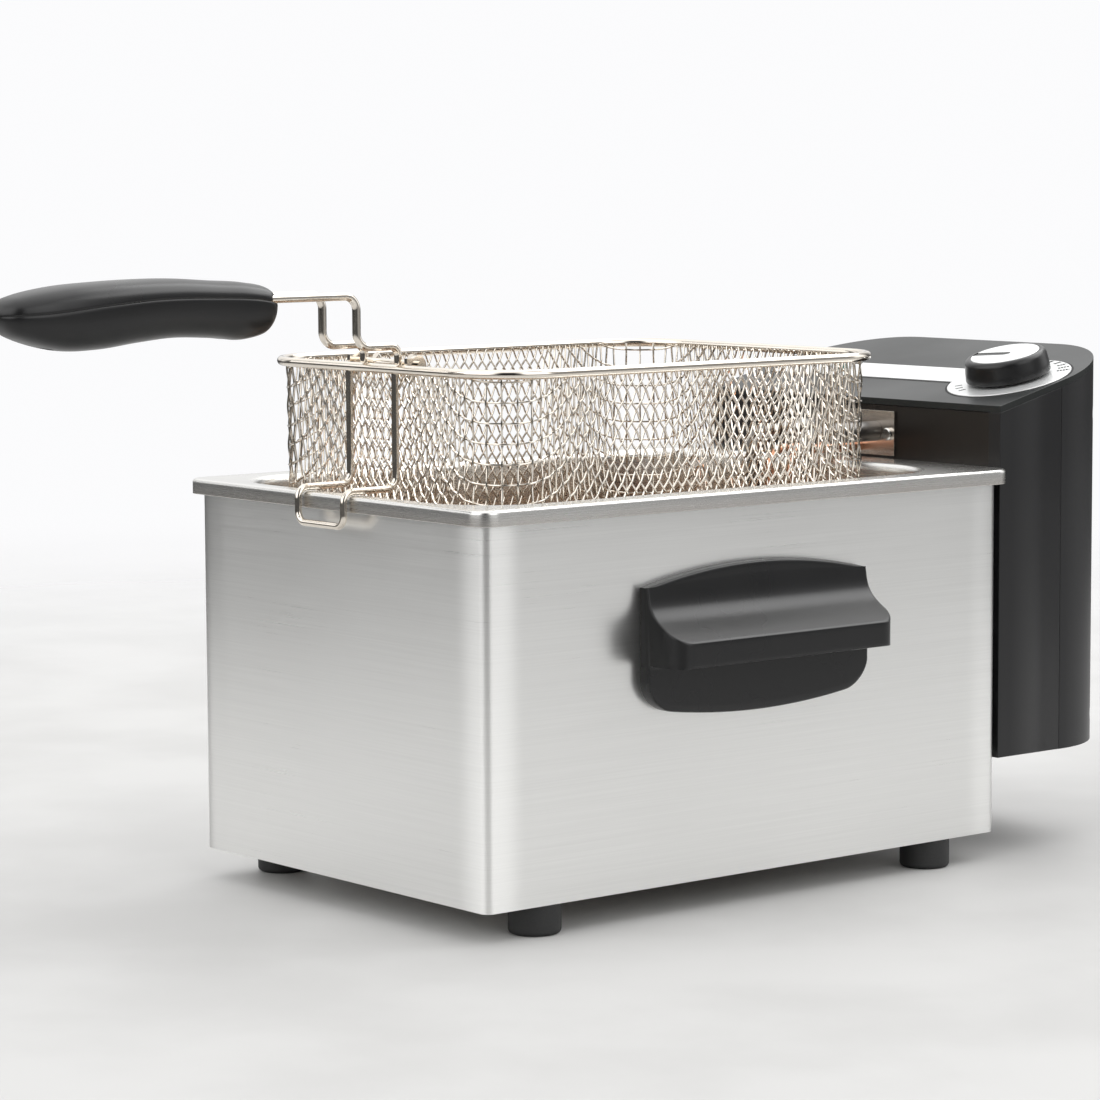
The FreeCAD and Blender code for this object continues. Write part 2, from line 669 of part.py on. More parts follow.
def grip_section(station):
    """A closed oval across the grip."""
    y, top, bottom, share = station
    half_height, half_width = (top - bottom) / 2, share * value("grip_half_width")
    middle = (top + bottom) / 2
    points = []
    for step in range(16):
        angle = 2 * math.pi * step / 16
        across, up = math.cos(angle), math.sin(angle)
        # a squarer oval than an ellipse
        squareness = (abs(across) ** 2.6 + abs(up) ** 2.6) ** (-1 / 2.6)
        points.append(Vector(half_width * across * squareness, y, middle + half_height * up * squareness))
    curve = Part.BSplineCurve()
    curve.interpolate(Points=points, PeriodicFlag=True)
    return Part.Wire([curve.toShape()])


def grip_half(name, upper):
    """One shell of the grip: the lofted body on one side of the parting line, less the wire's channel."""
    loft = Part.makeLoft([grip_section(station) for station in GRIP_STATIONS], True)
    parting = [(-320, 254), (-290, 255.4), (-262, 257.2), (-236, 258.2), (-170, 258.2)]
    line = [Vector(-20, y, z) for y, z in parting]
    far = 290 if upper else 220
    line += [Vector(-20, parting[-1][0], far), Vector(-20, parting[0][0], far)]
    side = Part.Face(Part.makePolygon(line + [line[0]])).extrude(Vector(40, 0, 0))
    channel = tube_along(handle_wire_edges(), value("handle_rod/2 + 0.1"))
    half = loft.common(side).cut(channel)
    for y in GRIP_SCREW_PLACES:
        if upper:
            half = half.cut(Part.makeCylinder(1.5, 12, Vector(0, y, 250)))
        else:
            half = half.cut(Part.makeCylinder(1.6, 40, Vector(0, y, 225)))
            half = half.cut(Part.makeCylinder(3.4, 25, Vector(0, y, 222)))
    return drawn(name, half)


GRIP_SCREW_PLACES = (-284, -199)
GRIP_SCREW_SEAT = 247


def make_grip_screws():
    screws = []
    for number, y in enumerate(GRIP_SCREW_PLACES):
        shank = cylinder("grip_shank_%d" % number, "1.5", "12", "0", y, GRIP_SCREW_SEAT)
        head = cylinder("grip_head_%d" % number, "2.8", "2", "0", y, GRIP_SCREW_SEAT - 2)
        slot = box("grip_slot_%d" % number, "3.2", "0.8", "1", "-1.6", y - 0.4, GRIP_SCREW_SEAT - 2.5)
        screws.append(cut("grip_screw_%d" % number, fused("grip_screw_blank_%d" % number, shank, head), slot))
    return group("grip_screw_set", screws)


# ---- control head --------------------------------------------------------------------------------

def cover_height(y, drop=0):
    """Height of the sloping top at a distance along the fryer."""
    return value("cover_front_height") + value("cover_slope") * (y - value("head_front")) - drop


TILT = math.degrees(math.atan(SIZES["cover_slope"]))
UP_SLOPE = Vector(0, -math.sin(math.radians(TILT)), math.cos(math.radians(TILT)))
TILTED = Rotation(Vector(1, 0, 0), TILT)


def head_outline(inset):
    """The D-shaped outline of the head, drawn in from its outer face."""
    side, front = "(head_half_width - %s)" % inset, "(head_front + %s)" % inset
    rear = "(head_rear - %s)" % inset
    return rectangle("-" + side, side, front, rear)


def head_body(name, inset, low, high):
    """An upright block of the head's outline."""
    body = new_body(name)
    outline = polygon_sketch(body, name + "_outline", "XY_Plane", head_outline(inset), low)
    padded(body, name + "_block", outline, "%s - (%s)" % (high, low))
    rear = value("head_rear - " + inset)
    rounded(body, name + "_rear_bends", "head_bend - " + inset,
            lambda edge: upright(edge) and abs(edge.Vertexes[0].Point.y - rear) < 0.01)
    return body


def under_slope(name, drop):
    """Everything under the sloping top, lowered by a drop."""
    front, rear = value("head_front") - 20, value("head_rear") + 20
    line = [Vector(-120, front, 0), Vector(-120, rear, 0), Vector(-120, rear, cover_height(rear, drop)),
            Vector(-120, front, cover_height(front, drop))]
    return drawn(name, Part.Face(Part.makePolygon(line + [line[0]])).extrude(Vector(240, 0, 0)))


def head_wall(name, keep, *openings):
    """A hollow casing under the top cover, kept in front of or behind the split."""
    outer = head_body(name + "_outer", "0", "head_floor", "260")
    inner = head_body(name + "_inner", "head_wall", "head_floor + head_wall", "270")
    half = box(name + "_half", "240", "60", "260", "-120", keep, "0")
    hull = common(name + "_hull", outer, under_slope(name + "_slope", value("cover_thick")), half)
    return cut(name + "_shell", hull, inner, *openings)


COVER_SCREW_PLACES = [(side, height) for side in (-1, 1) for height in (57, 196)]
COVER_SCREW_X = 81


def make_front_shell():
    opening = box("front_opening_box", "front_opening", "8", "260", "-front_opening/2",
                  "head_front - 4", "head_floor + 2")
    notch = box("bracket_notch", "2*pocket_half_width + 5", "pocket_depth + 3", "20",
                "-pocket_half_width - 2.5", "head_front - 1", "head_floor - 5")
    return head_wall("front_shell", "head_split - 60", opening, notch)


def make_rear_cover():
    """The rear casing, with deep screw recesses at its corners, a cord hole and a button hole."""
    openings = [cylinder("gland_hole", "gland_radius - 2", "20", "gland_x", "head_rear - 10", "gland_height",
                         "+Y"),
                cylinder("reset_hole", "reset_radius + 0.3", "20", "reset_x", "head_rear - 10",
                         "reset_height", "+Y")]
    posts = []
    for number, (side, height) in enumerate(COVER_SCREW_PLACES):
        x, seat = side * COVER_SCREW_X, "head_split + 14"
        openings.append(cylinder("cover_recess_%d" % number, "4", "60", x, seat, height, "+Y"))
        tube = cylinder("cover_tube_%d" % number, "5", "60", x, "head_split + 0.1", height, "+Y")
        bore = cylinder("cover_bore_%d" % number, "1.7", "70", x, "head_split - 5", height, "+Y")
        recess = cylinder("cover_deep_%d" % number, "4", "60", x, seat, height, "+Y")
        hull = head_body("cover_tube_hull_%d" % number, "0.4", "head_floor + 1", "220")
        posts.append(cut("cover_post_%d" % number, common("cover_post_blank_%d" % number, tube, hull),
                         bore, recess))
    wall = head_wall("rear_cover", "head_split", *openings)
    return fused("rear_cover_whole", wall, *posts)


def make_cover_screws():
    screws = []
    for number, (side, height) in enumerate(COVER_SCREW_PLACES):
        x = side * COVER_SCREW_X
        shank = cylinder("cover_shank_%d" % number, "1.6", "20", x, "head_split - 6", height, "+Y")
        head = cylinder("cover_head_%d" % number, "3.2", "2.2", x, "head_split + 14", height, "+Y")
        slot = box("cover_slot_%d" % number, "4", "1.2", "0.9", x - 2, "head_split + 15.4", height - 0.45)
        cross = box("cover_cross_%d" % number, "0.9", "1.2", "4", x - 0.45, "head_split + 15.4", height - 2)
        screws.append(cut("cover_screw_%d" % number, fused("cover_screw_blank_%d" % number, shank, head),
                          slot, cross))
    return group("cover_screw_set", screws)


def on_top(name, radius, height, x, y, lift):
    """A round bar that stands square on the sloping top, its foot a lift above it."""
    foot = Vector(x, y, cover_height(y)) + UP_SLOPE * lift
    item = doc.addObject("Part::Cylinder", name)
    bind(item, Radius=radius, Height=height)
    item.Placement = FreeCAD.Placement(foot, TILTED)
    return item


def slab_on_top(name, left, right, front, rear, thick, lift):
    """A flat plate that lies on the sloping top."""
    foot = Vector(left, front, cover_height(front)) + UP_SLOPE * lift
    item = doc.addObject("Part::Box", name)
    bind(item, Length=right - left, Width=(rear - front) / math.cos(math.radians(TILT)), Height=thick)
    item.Placement = FreeCAD.Placement(foot, TILTED)
    return item


DIAL = (SIZES["dial_x"], SIZES["dial_y"])
STRIP_ENDS = (-84, 44)
STRIP_EDGES = (178, 197)
PILOT = (-45, 187.5)


def make_top_cover():
    """The sloping lid of the head, with seats for the strip, the dial and the lamp."""
    outer = head_body("cover_outer", "0", "150", "260")
    lid = common("cover_lid", outer, under_slope("cover_upper", 0))
    below = under_slope("cover_lower", value("cover_thick"))
    return cut("cover_whole", lid, below,
               on_top("cover_dial_seat", "dial_radius + 0.2", "10", *DIAL, -0.6),
               slab_on_top("cover_strip_seat", STRIP_ENDS[0] - 0.2, STRIP_ENDS[1], STRIP_EDGES[0] - 0.2,
                           STRIP_EDGES[1] + 0.2, "10", -0.6),
               on_top("cover_shaft_hole", "shaft_radius + 1.5", "10", *DIAL, -5),
               on_top("cover_lamp_hole", "2.6", "10", *PILOT, -5))


def make_dial_plate():
    return cut("dial_disc_bored", on_top("dial_disc", "dial_radius", "plate_thick", *DIAL, -0.6),
               on_top("dial_hole", "shaft_radius + 1.5", "6", *DIAL, -3))


def make_silver_strip():
    return cut("strip_cut", slab_on_top("strip_slab", STRIP_ENDS[0], STRIP_ENDS[1], STRIP_EDGES[0],
                                        STRIP_EDGES[1], "plate_thick", -0.6),
               on_top("strip_dial_gap", "dial_radius + 0.05", "10", *DIAL, -5),
               on_top("strip_lamp_hole", "2.6", "10", *PILOT, -5))


def make_pilot_lens():
    stem = on_top("lens_stem", "2.5", "5", *PILOT, -4)
    dome = on_top("lens_dome", "2.4", "1.4", *PILOT, 0.6)
    return fused("lens_whole", stem, dome)


def make_knob():
    """A short drum with a rounded top edge, bored for the shaft, with a seat for its cap."""
    drum = on_top("knob_drum", "knob_radius", "knob_height", *DIAL, value("knob_gap"))
    edge = doc.addObject("Part::Fillet", "knob_round")
    edge.Base = drum
    doc.recompute()
    top = [number for number, rim in enumerate(drum.Shape.Edges, start=1)
           if abs((rim.CenterOfMass - drum.Placement.Base).dot(UP_SLOPE) - value("knob_height")) < 0.01]
    edge.Edges = [(number, 2.2, 2.2) for number in top]
    top_lift = value("knob_gap + knob_height")
    seat = on_top("knob_cap_seat", "knob_radius - 3.1", "5", *DIAL, top_lift - 0.8)
    bore = on_top("knob_bore", "shaft_radius", "10", *DIAL, 0)
    hollow = cut("knob_hollow", on_top("knob_hollow_drum", "knob_radius - 2.5", "8", *DIAL, 0),
                 on_top("knob_boss", "shaft_radius + 3", "9", *DIAL, 0))
    return cut("knob_whole", edge, seat, bore, hollow)


POINTER_ANGLE = 105


def make_knob_cap():
    """The bright disc let into the knob, with a pointer slot from its edge to its middle."""
    lift = value("knob_gap + knob_height") - 0.8
    disc = on_top("cap_disc", "knob_radius - 3.2", "plate_thick", *DIAL, lift)
    slot = doc.addObject("Part::Box", "cap_slot")
    bind(slot, Length="5", Width="knob_radius", Height="4")
    foot = Vector(DIAL[0], DIAL[1], cover_height(DIAL[1])) + UP_SLOPE * (lift - 1)
    turn = TILTED.multiply(Rotation(Vector(0, 0, 1), POINTER_ANGLE))
    slot.Placement = FreeCAD.Placement(foot + turn.multVec(Vector(-2.5, 0, 0)), turn)
    return cut("cap_whole", disc, slot)


def make_thermostat_shaft():
    return group("shaft_piece", [on_top("shaft_bar", "shaft_radius", "21", *DIAL, -11)])


def make_thermostat_body():
    """The thermostat's can under the dial, with a running bore for the shaft."""
    can = on_top("thermostat_can", "10.5", "15", *DIAL, -20)
    collar = on_top("thermostat_collar", "shaft_radius + 1.4", "4", *DIAL, -5.2)
    bore = on_top("thermostat_bore", "shaft_radius + 0.05", "30", *DIAL, -11.5)
    return cut("thermostat_whole", fused("thermostat_blank", can, collar), bore)


def make_front_plate():
    plate = box("front_sheet", "front_opening - 0.4", "front_plate_thick", "cover_front_height - 50.4",
                "0.2 - front_opening/2", "head_front + 0.5", "head_floor + 2.2")
    return cut("front_plate_whole", plate,
               box("front_slot", "2*pocket_half_width", "10", "pocket_top - 20", "-pocket_half_width",
                   "head_front - 4", "20"),
               *[cylinder("front_hole_%s" % name, radius, "10", x, "head_front - 4", z, "+Y")
                 for name, radius, x, z in front_holes()])


def front_holes():
    """Holes through the front plate and the bracket: name, radius, x and height."""
    return [("tube_left", "element_tube/2 + 0.1", "-element_spread", "element_over_rim"),
            ("tube_right", "element_tube/2 + 0.1", "element_spread", "element_over_rim"),
            ("bulb_left", "bulb_tube/2 + 0.1", "-bulb_offset", "bulb_over_rim"),
            ("bulb_right", "bulb_tube/2 + 0.1", "bulb_offset", "bulb_over_rim"),
            ("screw_left", "1.6", "-26", "187"), ("screw_right", "1.6", "26", "187")]


def make_element_bracket():
    """The stainless plate in the middle of the front, with rounded corners and six holes."""
    body = new_body("element_bracket_body")
    outline = polygon_sketch(body, "bracket_outline", "XY_Plane",
                             rectangle("-29.5", "29.5", "head_front - 0.9", "head_front + 0.4"), "177")
    padded(body, "bracket_sheet_pad", outline, "20.5")
    return cut("element_bracket_whole", body,
               *[cylinder("bracket_hole_%s" % name, radius, "10", x, "head_front - 5", z, "+Y")
                 for name, radius, x, z in front_holes()])


def make_bracket_screws():
    screws = []
    for side in (-1, 1):
        name = "left" if side < 0 else "right"
        shank = cylinder("plate_shank_" + name, "1.6", "8", 26 * side, "head_front - 0.9", "187", "+Y")
        head = cylinder("plate_head_" + name, "2.9", "2", 26 * side, "head_front - 2.9", "187", "+Y")
        dome = ball("plate_dome_" + name, "3.6", 26 * side, "head_front - 0.2", "187")
        slot = box("plate_slot_" + name, "3.6", "1.4", "0.8", 26 * side - 1.8, "head_front - 4.2", "186.6")
        cross = box("plate_cross_" + name, "0.8", "1.4", "3.6", 26 * side - 0.4, "head_front - 4.2", "185.2")
        screws.append(cut("plate_screw_" + name,
                          fused("plate_screw_blank_" + name, shank,
                                common("plate_head_round_" + name, head, dome)), slot, cross))
    return group("plate_screw_set", screws)


def make_guide_pocket():
    """A five-sided pocket that keeps the rear bracket apart from the electrics."""
    tall = "pocket_top - head_floor"
    block = box("pocket_block", "2*pocket_half_width - 0.2", "pocket_depth", tall,
                "0.1 - pocket_half_width", "head_front + 0.4", "head_floor")
    space = box("pocket_space", "2*pocket_half_width - 4", "pocket_depth - 2", tall + " - 2",
                "2 - pocket_half_width", "head_front + 0.3", "head_floor - 0.1")
    return cut("pocket_whole", block, space)


# ---- heating element and sensing bulbs -----------------------------------------------------------

def element_points():
    """Half of the element's route, from inside the head to the middle of its loop."""
    spread, level = value("element_spread"), value("element_level")
    leg, over = value("element_leg_y"), value("element_over_rim")
    return [Vector(spread, 178, over), Vector(spread, leg, over), Vector(spread, leg, level),
            Vector(spread, 83, level), Vector(68, 83, level), Vector(68, -108, level),
            Vector(30, -108, level), Vector(30, 54, level)]


def make_heating_element():
    half = element_points()
    points = half + [mirrored_x(point) for point in reversed(half)]
    return checked_wire("element_bar", bent_path(points, value("element_bend")), value("element_tube/2"))


def make_element_sleeves():
    sleeves = []
    for side in (-1, 1):
        name = "left" if side < 0 else "right"
        x = "%d*element_spread" % side
        ferrule = cylinder("ferrule_" + name, "sleeve_radius", "30", x, "head_front - 31",
                           "element_over_rim", "+Y")
        bore = cylinder("ferrule_bore_" + name, "element_tube/2", "40", x, "head_front - 36",
                        "element_over_rim", "+Y")
        sleeves.append(cut("sleeve_" + name, ferrule, bore))
    return group("sleeve_set", sleeves)


def make_element_clips():
    """Two flat straps across the loop's long runs."""
    clips = []
    for number, y in enumerate((-58, 22)):
        clips.append(box("clip_%d" % number, "150", "8", "1", "-75", y - 4,
                         "element_level + element_tube/2"))
    return group("clip_set", clips)


def make_bulb(name, side):
    """A sensing tube over the rim and down, with its thicker bulb lying above the element."""
    x = side * value("bulb_offset")
    over, level = value("bulb_over_rim"), value("bulb_level")
    points = [Vector(x, 170, over), Vector(x, 106, over), Vector(x, 106, level), Vector(x, 88, level)]
    stem = tube_along(bent_path(points, 8), value("bulb_tube/2"))
    bulb = Part.makeCylinder(value("bulb_radius"), 52, Vector(x, 90, level), Vector(0, -1, 0))
    return drawn(name, stem.fuse(bulb).removeSplitter())


def make_capillary_tubes():
    """Thin tubes from the bulbs' stems to the thermostat and the cut-out."""
    right = [Vector(7, 170, 180.5), Vector(7, 184, 180.5), Vector(40, 200, 176), Vector(60, 196, 193.4)]
    left = [Vector(-7, 170, 180.5), Vector(-7, 186, 180.5), Vector(-35, 198, 150), Vector(-35, 216, 110.4)]
    return group("capillary_set", [checked_wire("capillary_right", bent_path(right, 5), 0.9),
                                   checked_wire("capillary_left", bent_path(left, 5), 0.9)])


# ---- electrics -----------------------------------------------------------------------------------

def make_safety_cutout():
    """The one-shot cut-out behind the reset button, with a bore for the button's stem."""
    inside = "head_rear - head_wall"
    can = cylinder("cutout_can", "10", "20", "reset_x", inside + " - 27", "reset_height", "+Y")
    bore = cylinder("cutout_bore", "1.65", "10", "reset_x", inside + " - 14", "reset_height", "+Y")
    return cut("cutout_whole", can, bore)


def make_reset_button():
    button = cylinder("button_cap", "reset_radius", "reset_proud + head_wall + 2", "reset_x",
                      "head_rear - head_wall - 2", "reset_height", "+Y")
    stem = cylinder("button_stem", "1.6", "8", "reset_x", "head_rear - head_wall - 10", "reset_height", "+Y")
    return fused("button_whole", button, stem)


def make_micro_switch():
    body = box("switch_block", "28", "10", "14", "-14", "head_front + 6", "pocket_top + 2")
    lever = box("switch_lever", "22", "6", "0.5", "-10", "head_front + 8", "pocket_top + 1")
    foot = box("switch_foot", "2", "6", "1.2", "-12", "head_front + 8", "pocket_top + 1")
    return fused("switch_whole", body, lever, foot)


def make_terminal_block():
    block = box("terminal_bar", "44", "16", "14", "-34", "head_split + 12", "head_floor + head_wall + 4")
    wells = [cylinder("terminal_well_%d" % number, "2.4", "8", -28 + 16 * number, "head_split + 20",
                      "head_floor + head_wall + 11") for number in range(3)]
    return cut("terminal_whole", block, *wells)


def make_cord_gland():
    """The cord's inlet: a flange outside the rear wall, a neck through it and a bore for the cord."""
    flange = cylinder("gland_flange", "gland_radius", "rear_reach - head_rear", "gland_x", "head_rear",
                      "gland_height", "+Y")
    neck = cylinder("gland_neck", "gland_radius - 2.05", "head_wall + 6", "gland_x",
                    "head_rear - head_wall - 6", "gland_height", "+Y")
    bore = cylinder("gland_hole_cord", "gland_bore", "40", "gland_x", "head_rear - 20", "gland_height", "+Y")
    return cut("gland_whole", fused("gland_blank", flange, neck), bore)


# ---- the assembly --------------------------------------------------------------------------------

node("outer_case", make_outer_case())
node("base_plate", make_base_plate())
for foot_label, foot_side in FOOT_SIDES.items():
    node(foot_label, make_foot(foot_label, foot_side))
node("foot_screws", make_foot_screws())
node("foot_nuts", make_foot_nuts())
node("side_handle_left", make_side_handle("side_handle_left", -1))
node("side_handle_right", make_side_handle("side_handle_right", 1))
node("handle_screws", make_handle_screws())
node("guide_bracket", make_guide_bracket())
node("bracket_rivets", make_bracket_rivets())
node("oil_pan", make_oil_pan())
node("basket_mesh", make_basket_mesh())
node("basket_rim", make_basket_rim())
node("rest_hook", make_rest_hook())
node("pivot_lugs", make_pivot_lugs())
node("pivot_rod", make_pivot_rod())
node("handle_wire", make_handle_wire())
node("grip_upper", grip_half("grip_upper_shell", True))
node("grip_lower", grip_half("grip_lower_shell", False))
node("grip_screws", make_grip_screws())
node("head_front_shell", make_front_shell())
node("head_rear_cover", make_rear_cover())
node("head_top_cover", make_top_cover())
node("rear_cover_screws", make_cover_screws())
node("front_plate", make_front_plate())
node("guide_pocket", make_guide_pocket())
node("element_bracket", make_element_bracket())
node("bracket_screws", make_bracket_screws())
node("heating_element", make_heating_element())
node("element_sleeves", make_element_sleeves())
node("element_clips", make_element_clips())
node("thermostat_bulb", make_bulb("thermostat_bulb_tube", 1))
node("cutout_bulb", make_bulb("cutout_bulb_tube", -1))
node("capillary_tubes", make_capillary_tubes())
node("thermostat_body", make_thermostat_body())
node("safety_cutout", make_safety_cutout())
node("micro_switch", make_micro_switch())
node("terminal_block", make_terminal_block())
node("cord_gland", make_cord_gland())
node("silver_strip", make_silver_strip())
node("dial_plate", make_dial_plate())
node("pilot_lens", make_pilot_lens())
node("pilot_lamp", group("pilot_lamp_piece", [on_top("lamp_body", "3.4", "12", *PILOT, -16.5)]))
node("knob", make_knob())
node("knob_cap", make_knob_cap())
node("thermostat_shaft", make_thermostat_shaft())
node("reset_button", make_reset_button())

doc.recompute()
for item in doc.Objects:
    if "Invalid" in item.State or "Error" in item.State:
        raise RuntimeError("%s (%s) failed: %s" % (item.Name, item.Label, item.State))
os.makedirs("parts", exist_ok=True)
for label, item in nodes:
    shape = item.Shape
    if shape.isNull() or not shape.isValid() or not shape.Solids:
        raise RuntimeError(label + " has no valid solid")
    shape.exportStep("parts/%s.step" % label)
    extent = shape.BoundBox
    print("%-18s %d solids, %7.1f cm3, x %.1f..%.1f, y %.1f..%.1f, z %.1f..%.1f" % (
        label, len(shape.Solids), shape.Volume / 1000, extent.XMin, extent.XMax, extent.YMin, extent.YMax,
        extent.ZMin, extent.ZMax))
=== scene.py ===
import json
import math

import bmesh
import bpy
import numpy as np
from mathutils import Matrix, Vector


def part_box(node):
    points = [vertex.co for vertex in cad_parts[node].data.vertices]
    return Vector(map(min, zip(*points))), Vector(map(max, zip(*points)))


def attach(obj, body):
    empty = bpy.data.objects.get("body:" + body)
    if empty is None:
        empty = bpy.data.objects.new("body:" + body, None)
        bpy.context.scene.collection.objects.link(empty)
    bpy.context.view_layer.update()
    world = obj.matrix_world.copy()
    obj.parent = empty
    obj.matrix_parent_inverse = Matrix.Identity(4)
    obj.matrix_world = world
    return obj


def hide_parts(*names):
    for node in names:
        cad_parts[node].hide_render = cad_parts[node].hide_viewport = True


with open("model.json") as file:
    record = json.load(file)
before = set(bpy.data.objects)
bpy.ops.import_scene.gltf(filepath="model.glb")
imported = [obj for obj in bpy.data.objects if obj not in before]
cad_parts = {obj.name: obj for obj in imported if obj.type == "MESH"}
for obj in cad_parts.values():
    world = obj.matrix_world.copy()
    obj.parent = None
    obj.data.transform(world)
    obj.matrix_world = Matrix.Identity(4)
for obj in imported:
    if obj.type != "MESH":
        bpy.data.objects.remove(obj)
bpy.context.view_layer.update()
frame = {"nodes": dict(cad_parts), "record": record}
frame_materials = set(bpy.data.materials)

# %% [markdown]
# ## Landmarks
# Every place is read from the frame's own boxes, so a piece always lands where the frame says. Lengths
# are in metres, and MM turns a maker's millimetres into them. The case's middle is where the fryer's
# drawing starts, so a length along the fryer is written from there.
# %% Landmarks and small helpers
MM = 0.001
case_low, case_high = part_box("outer_case")
CASE_MIDDLE = (case_low + case_high) / 2
RIM_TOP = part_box("oil_pan")[1].z


def along(y_mm):
    """A place along the fryer, given in millimetres from the case's middle."""
    return CASE_MIDDLE.y + y_mm * MM


def smoothstep(x):
    x = np.clip(x, 0, 1)
    return x * x * (3 - 2 * x)


def smooth_through(stations, x):
    """A smooth curve through (place, value) stations, read at the places x."""
    places, values = np.array(stations, float).T
    slopes = np.gradient(values, places)
    index = np.clip(np.searchsorted(places, x) - 1, 0, len(places) - 2)
    span = places[index + 1] - places[index]
    u = (x - places[index]) / span
    start = (1 + 2 * u) * (1 - u) ** 2 * values[index] + u * (1 - u) ** 2 * span * slopes[index]
    end = u * u * (3 - 2 * u) * values[index + 1] + u * u * (u - 1) * span * slopes[index + 1]
    return start + end


def new_piece(name, points, faces, body, finish, sharp_angle):
    """A mesh piece that rides on a body: smooth faces, with edges sharper than an angle kept crisp."""
    mesh = bpy.data.meshes.new(name)
    mesh.from_pydata([tuple(point) for point in points], [], [tuple(face) for face in faces])
    work = bmesh.new()
    work.from_mesh(mesh)
    bmesh.ops.recalc_face_normals(work, faces=work.faces)
    work.to_mesh(mesh)
    work.free()
    mesh.shade_smooth()
    mesh.set_sharp_from_angle(angle=math.radians(sharp_angle))
    mesh.materials.append(finish)
    piece = bpy.data.objects.new(name, mesh)
    bpy.context.scene.collection.objects.link(piece)
    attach(piece, body)
    return piece


def grid_faces(rows, columns, wrap=False):
    """Quads over a grid of points stored row by row; wrap joins the last column to the first."""
    last = columns if wrap else columns - 1
    return [(r * columns + c, r * columns + (c + 1) % columns, (r + 1) * columns + (c + 1) % columns,
             (r + 1) * columns + c) for r in range(rows - 1) for c in range(last)]


print("the pan's rim stands", round(RIM_TOP / MM, 1), "mm above the table")

# %% [markdown]
# ## Camera
# The fryer is looked at from a little above the table, three quarters on. A long lens keeps the box's
# edges nearly parallel. The camera's place is given from the case's middle, and its three axes are built
# from an azimuth, an elevation and a slight roll.
# %% Camera
AZIMUTH, ELEVATION, ROLL = math.radians(50.872), math.radians(6.072), math.radians(-0.281)
backward = Vector((math.sin(AZIMUTH) * math.cos(ELEVATION), -math.cos(AZIMUTH) * math.cos(ELEVATION),
                   math.sin(ELEVATION)))
level_right = Vector((0, 0, 1)).cross(backward).normalized()
level_up = backward.cross(level_right)
right = level_right * math.cos(ROLL) + level_up * math.sin(ROLL)
up = level_up * math.cos(ROLL) - level_right * math.sin(ROLL)
camera_data = bpy.data.cameras.new("camera")
camera_data.lens = 124.4
camera = bpy.data.objects.new("camera", camera_data)
bpy.context.scene.collection.objects.link(camera)
turn = Matrix((right, up, backward)).transposed().to_4x4()
camera_place = Vector((CASE_MIDDLE.x + 1.2782, CASE_MIDDLE.y - 1.0698, 0.3194))
camera.matrix_world = Matrix.Translation(camera_place) @ turn
bpy.context.scene.camera = camera
print("the camera stands", round((camera_place - CASE_MIDDLE).length, 2), "m from the case")

# %% [markdown]
# ## Studio
# Bright metal looks like what it reflects, so the studio matters as much as the steel. A plain white room
# would make it flat and grey. Here the surrounding light has tall soft panels with darker gaps between
# them: a brushed box then shows bright bands beside its corner, and chrome wire gets its black and white
# lines. The room itself stays white, because rays straight from the camera see a plain white instead.
# %% Light from all around
world = bpy.data.worlds.new("studio")
world.use_nodes = True
bpy.context.scene.world = world
bpy.context.scene.view_settings.view_transform = "Standard"


def calculate(tree, operation, *values, clamp=False):
    """A Math node; each value is a number or another node's output."""
    node = tree.nodes.new("ShaderNodeMath")
    node.operation = operation
    node.use_clamp = clamp
    for socket, value in zip(node.inputs, values):
        if isinstance(value, (int, float)):
            socket.default_value = value
        else:
            tree.links.new(value, socket)
    return node.outputs[0]


def plus(tree, a, b, clamp=False):
    return calculate(tree, "ADD", a, b, clamp=clamp)


def minus(tree, a, b):
    return calculate(tree, "SUBTRACT", a, b)


def times(tree, a, b):
    return calculate(tree, "MULTIPLY", a, b)


def ramp(tree, value, low, high, start=0.0, end=1.0):
    """A value that goes smoothly from start to end as the input goes from low to high."""
    node = tree.nodes.new("ShaderNodeMapRange")
    node.interpolation_type = "SMOOTHSTEP"
    tree.links.new(value, node.inputs["Value"])
    for name, number in zip(("From Min", "From Max", "To Min", "To Max"), (low, high, start, end)):
        node.inputs[name].default_value = number
    return node.outputs["Result"]


def band(tree, value, low, high, soft):
    """One between low and high, falling softly to nought outside."""
    rise = ramp(tree, value, low - soft, low + soft)
    fall = ramp(tree, value, high - soft, high + soft, 1.0, 0.0)
    return times(tree, rise, fall)


PANELS = [  # from and to, in degrees round the room, strength, softness
    (-27, 17, 1.9, 7), (63, 126, 2.0, 9), (-52, -27, 0.15, 8), (-92, -58, 1.5, 10),
    (-180, -118, 1.0, 14), (165, 181, 1.0, 10)]


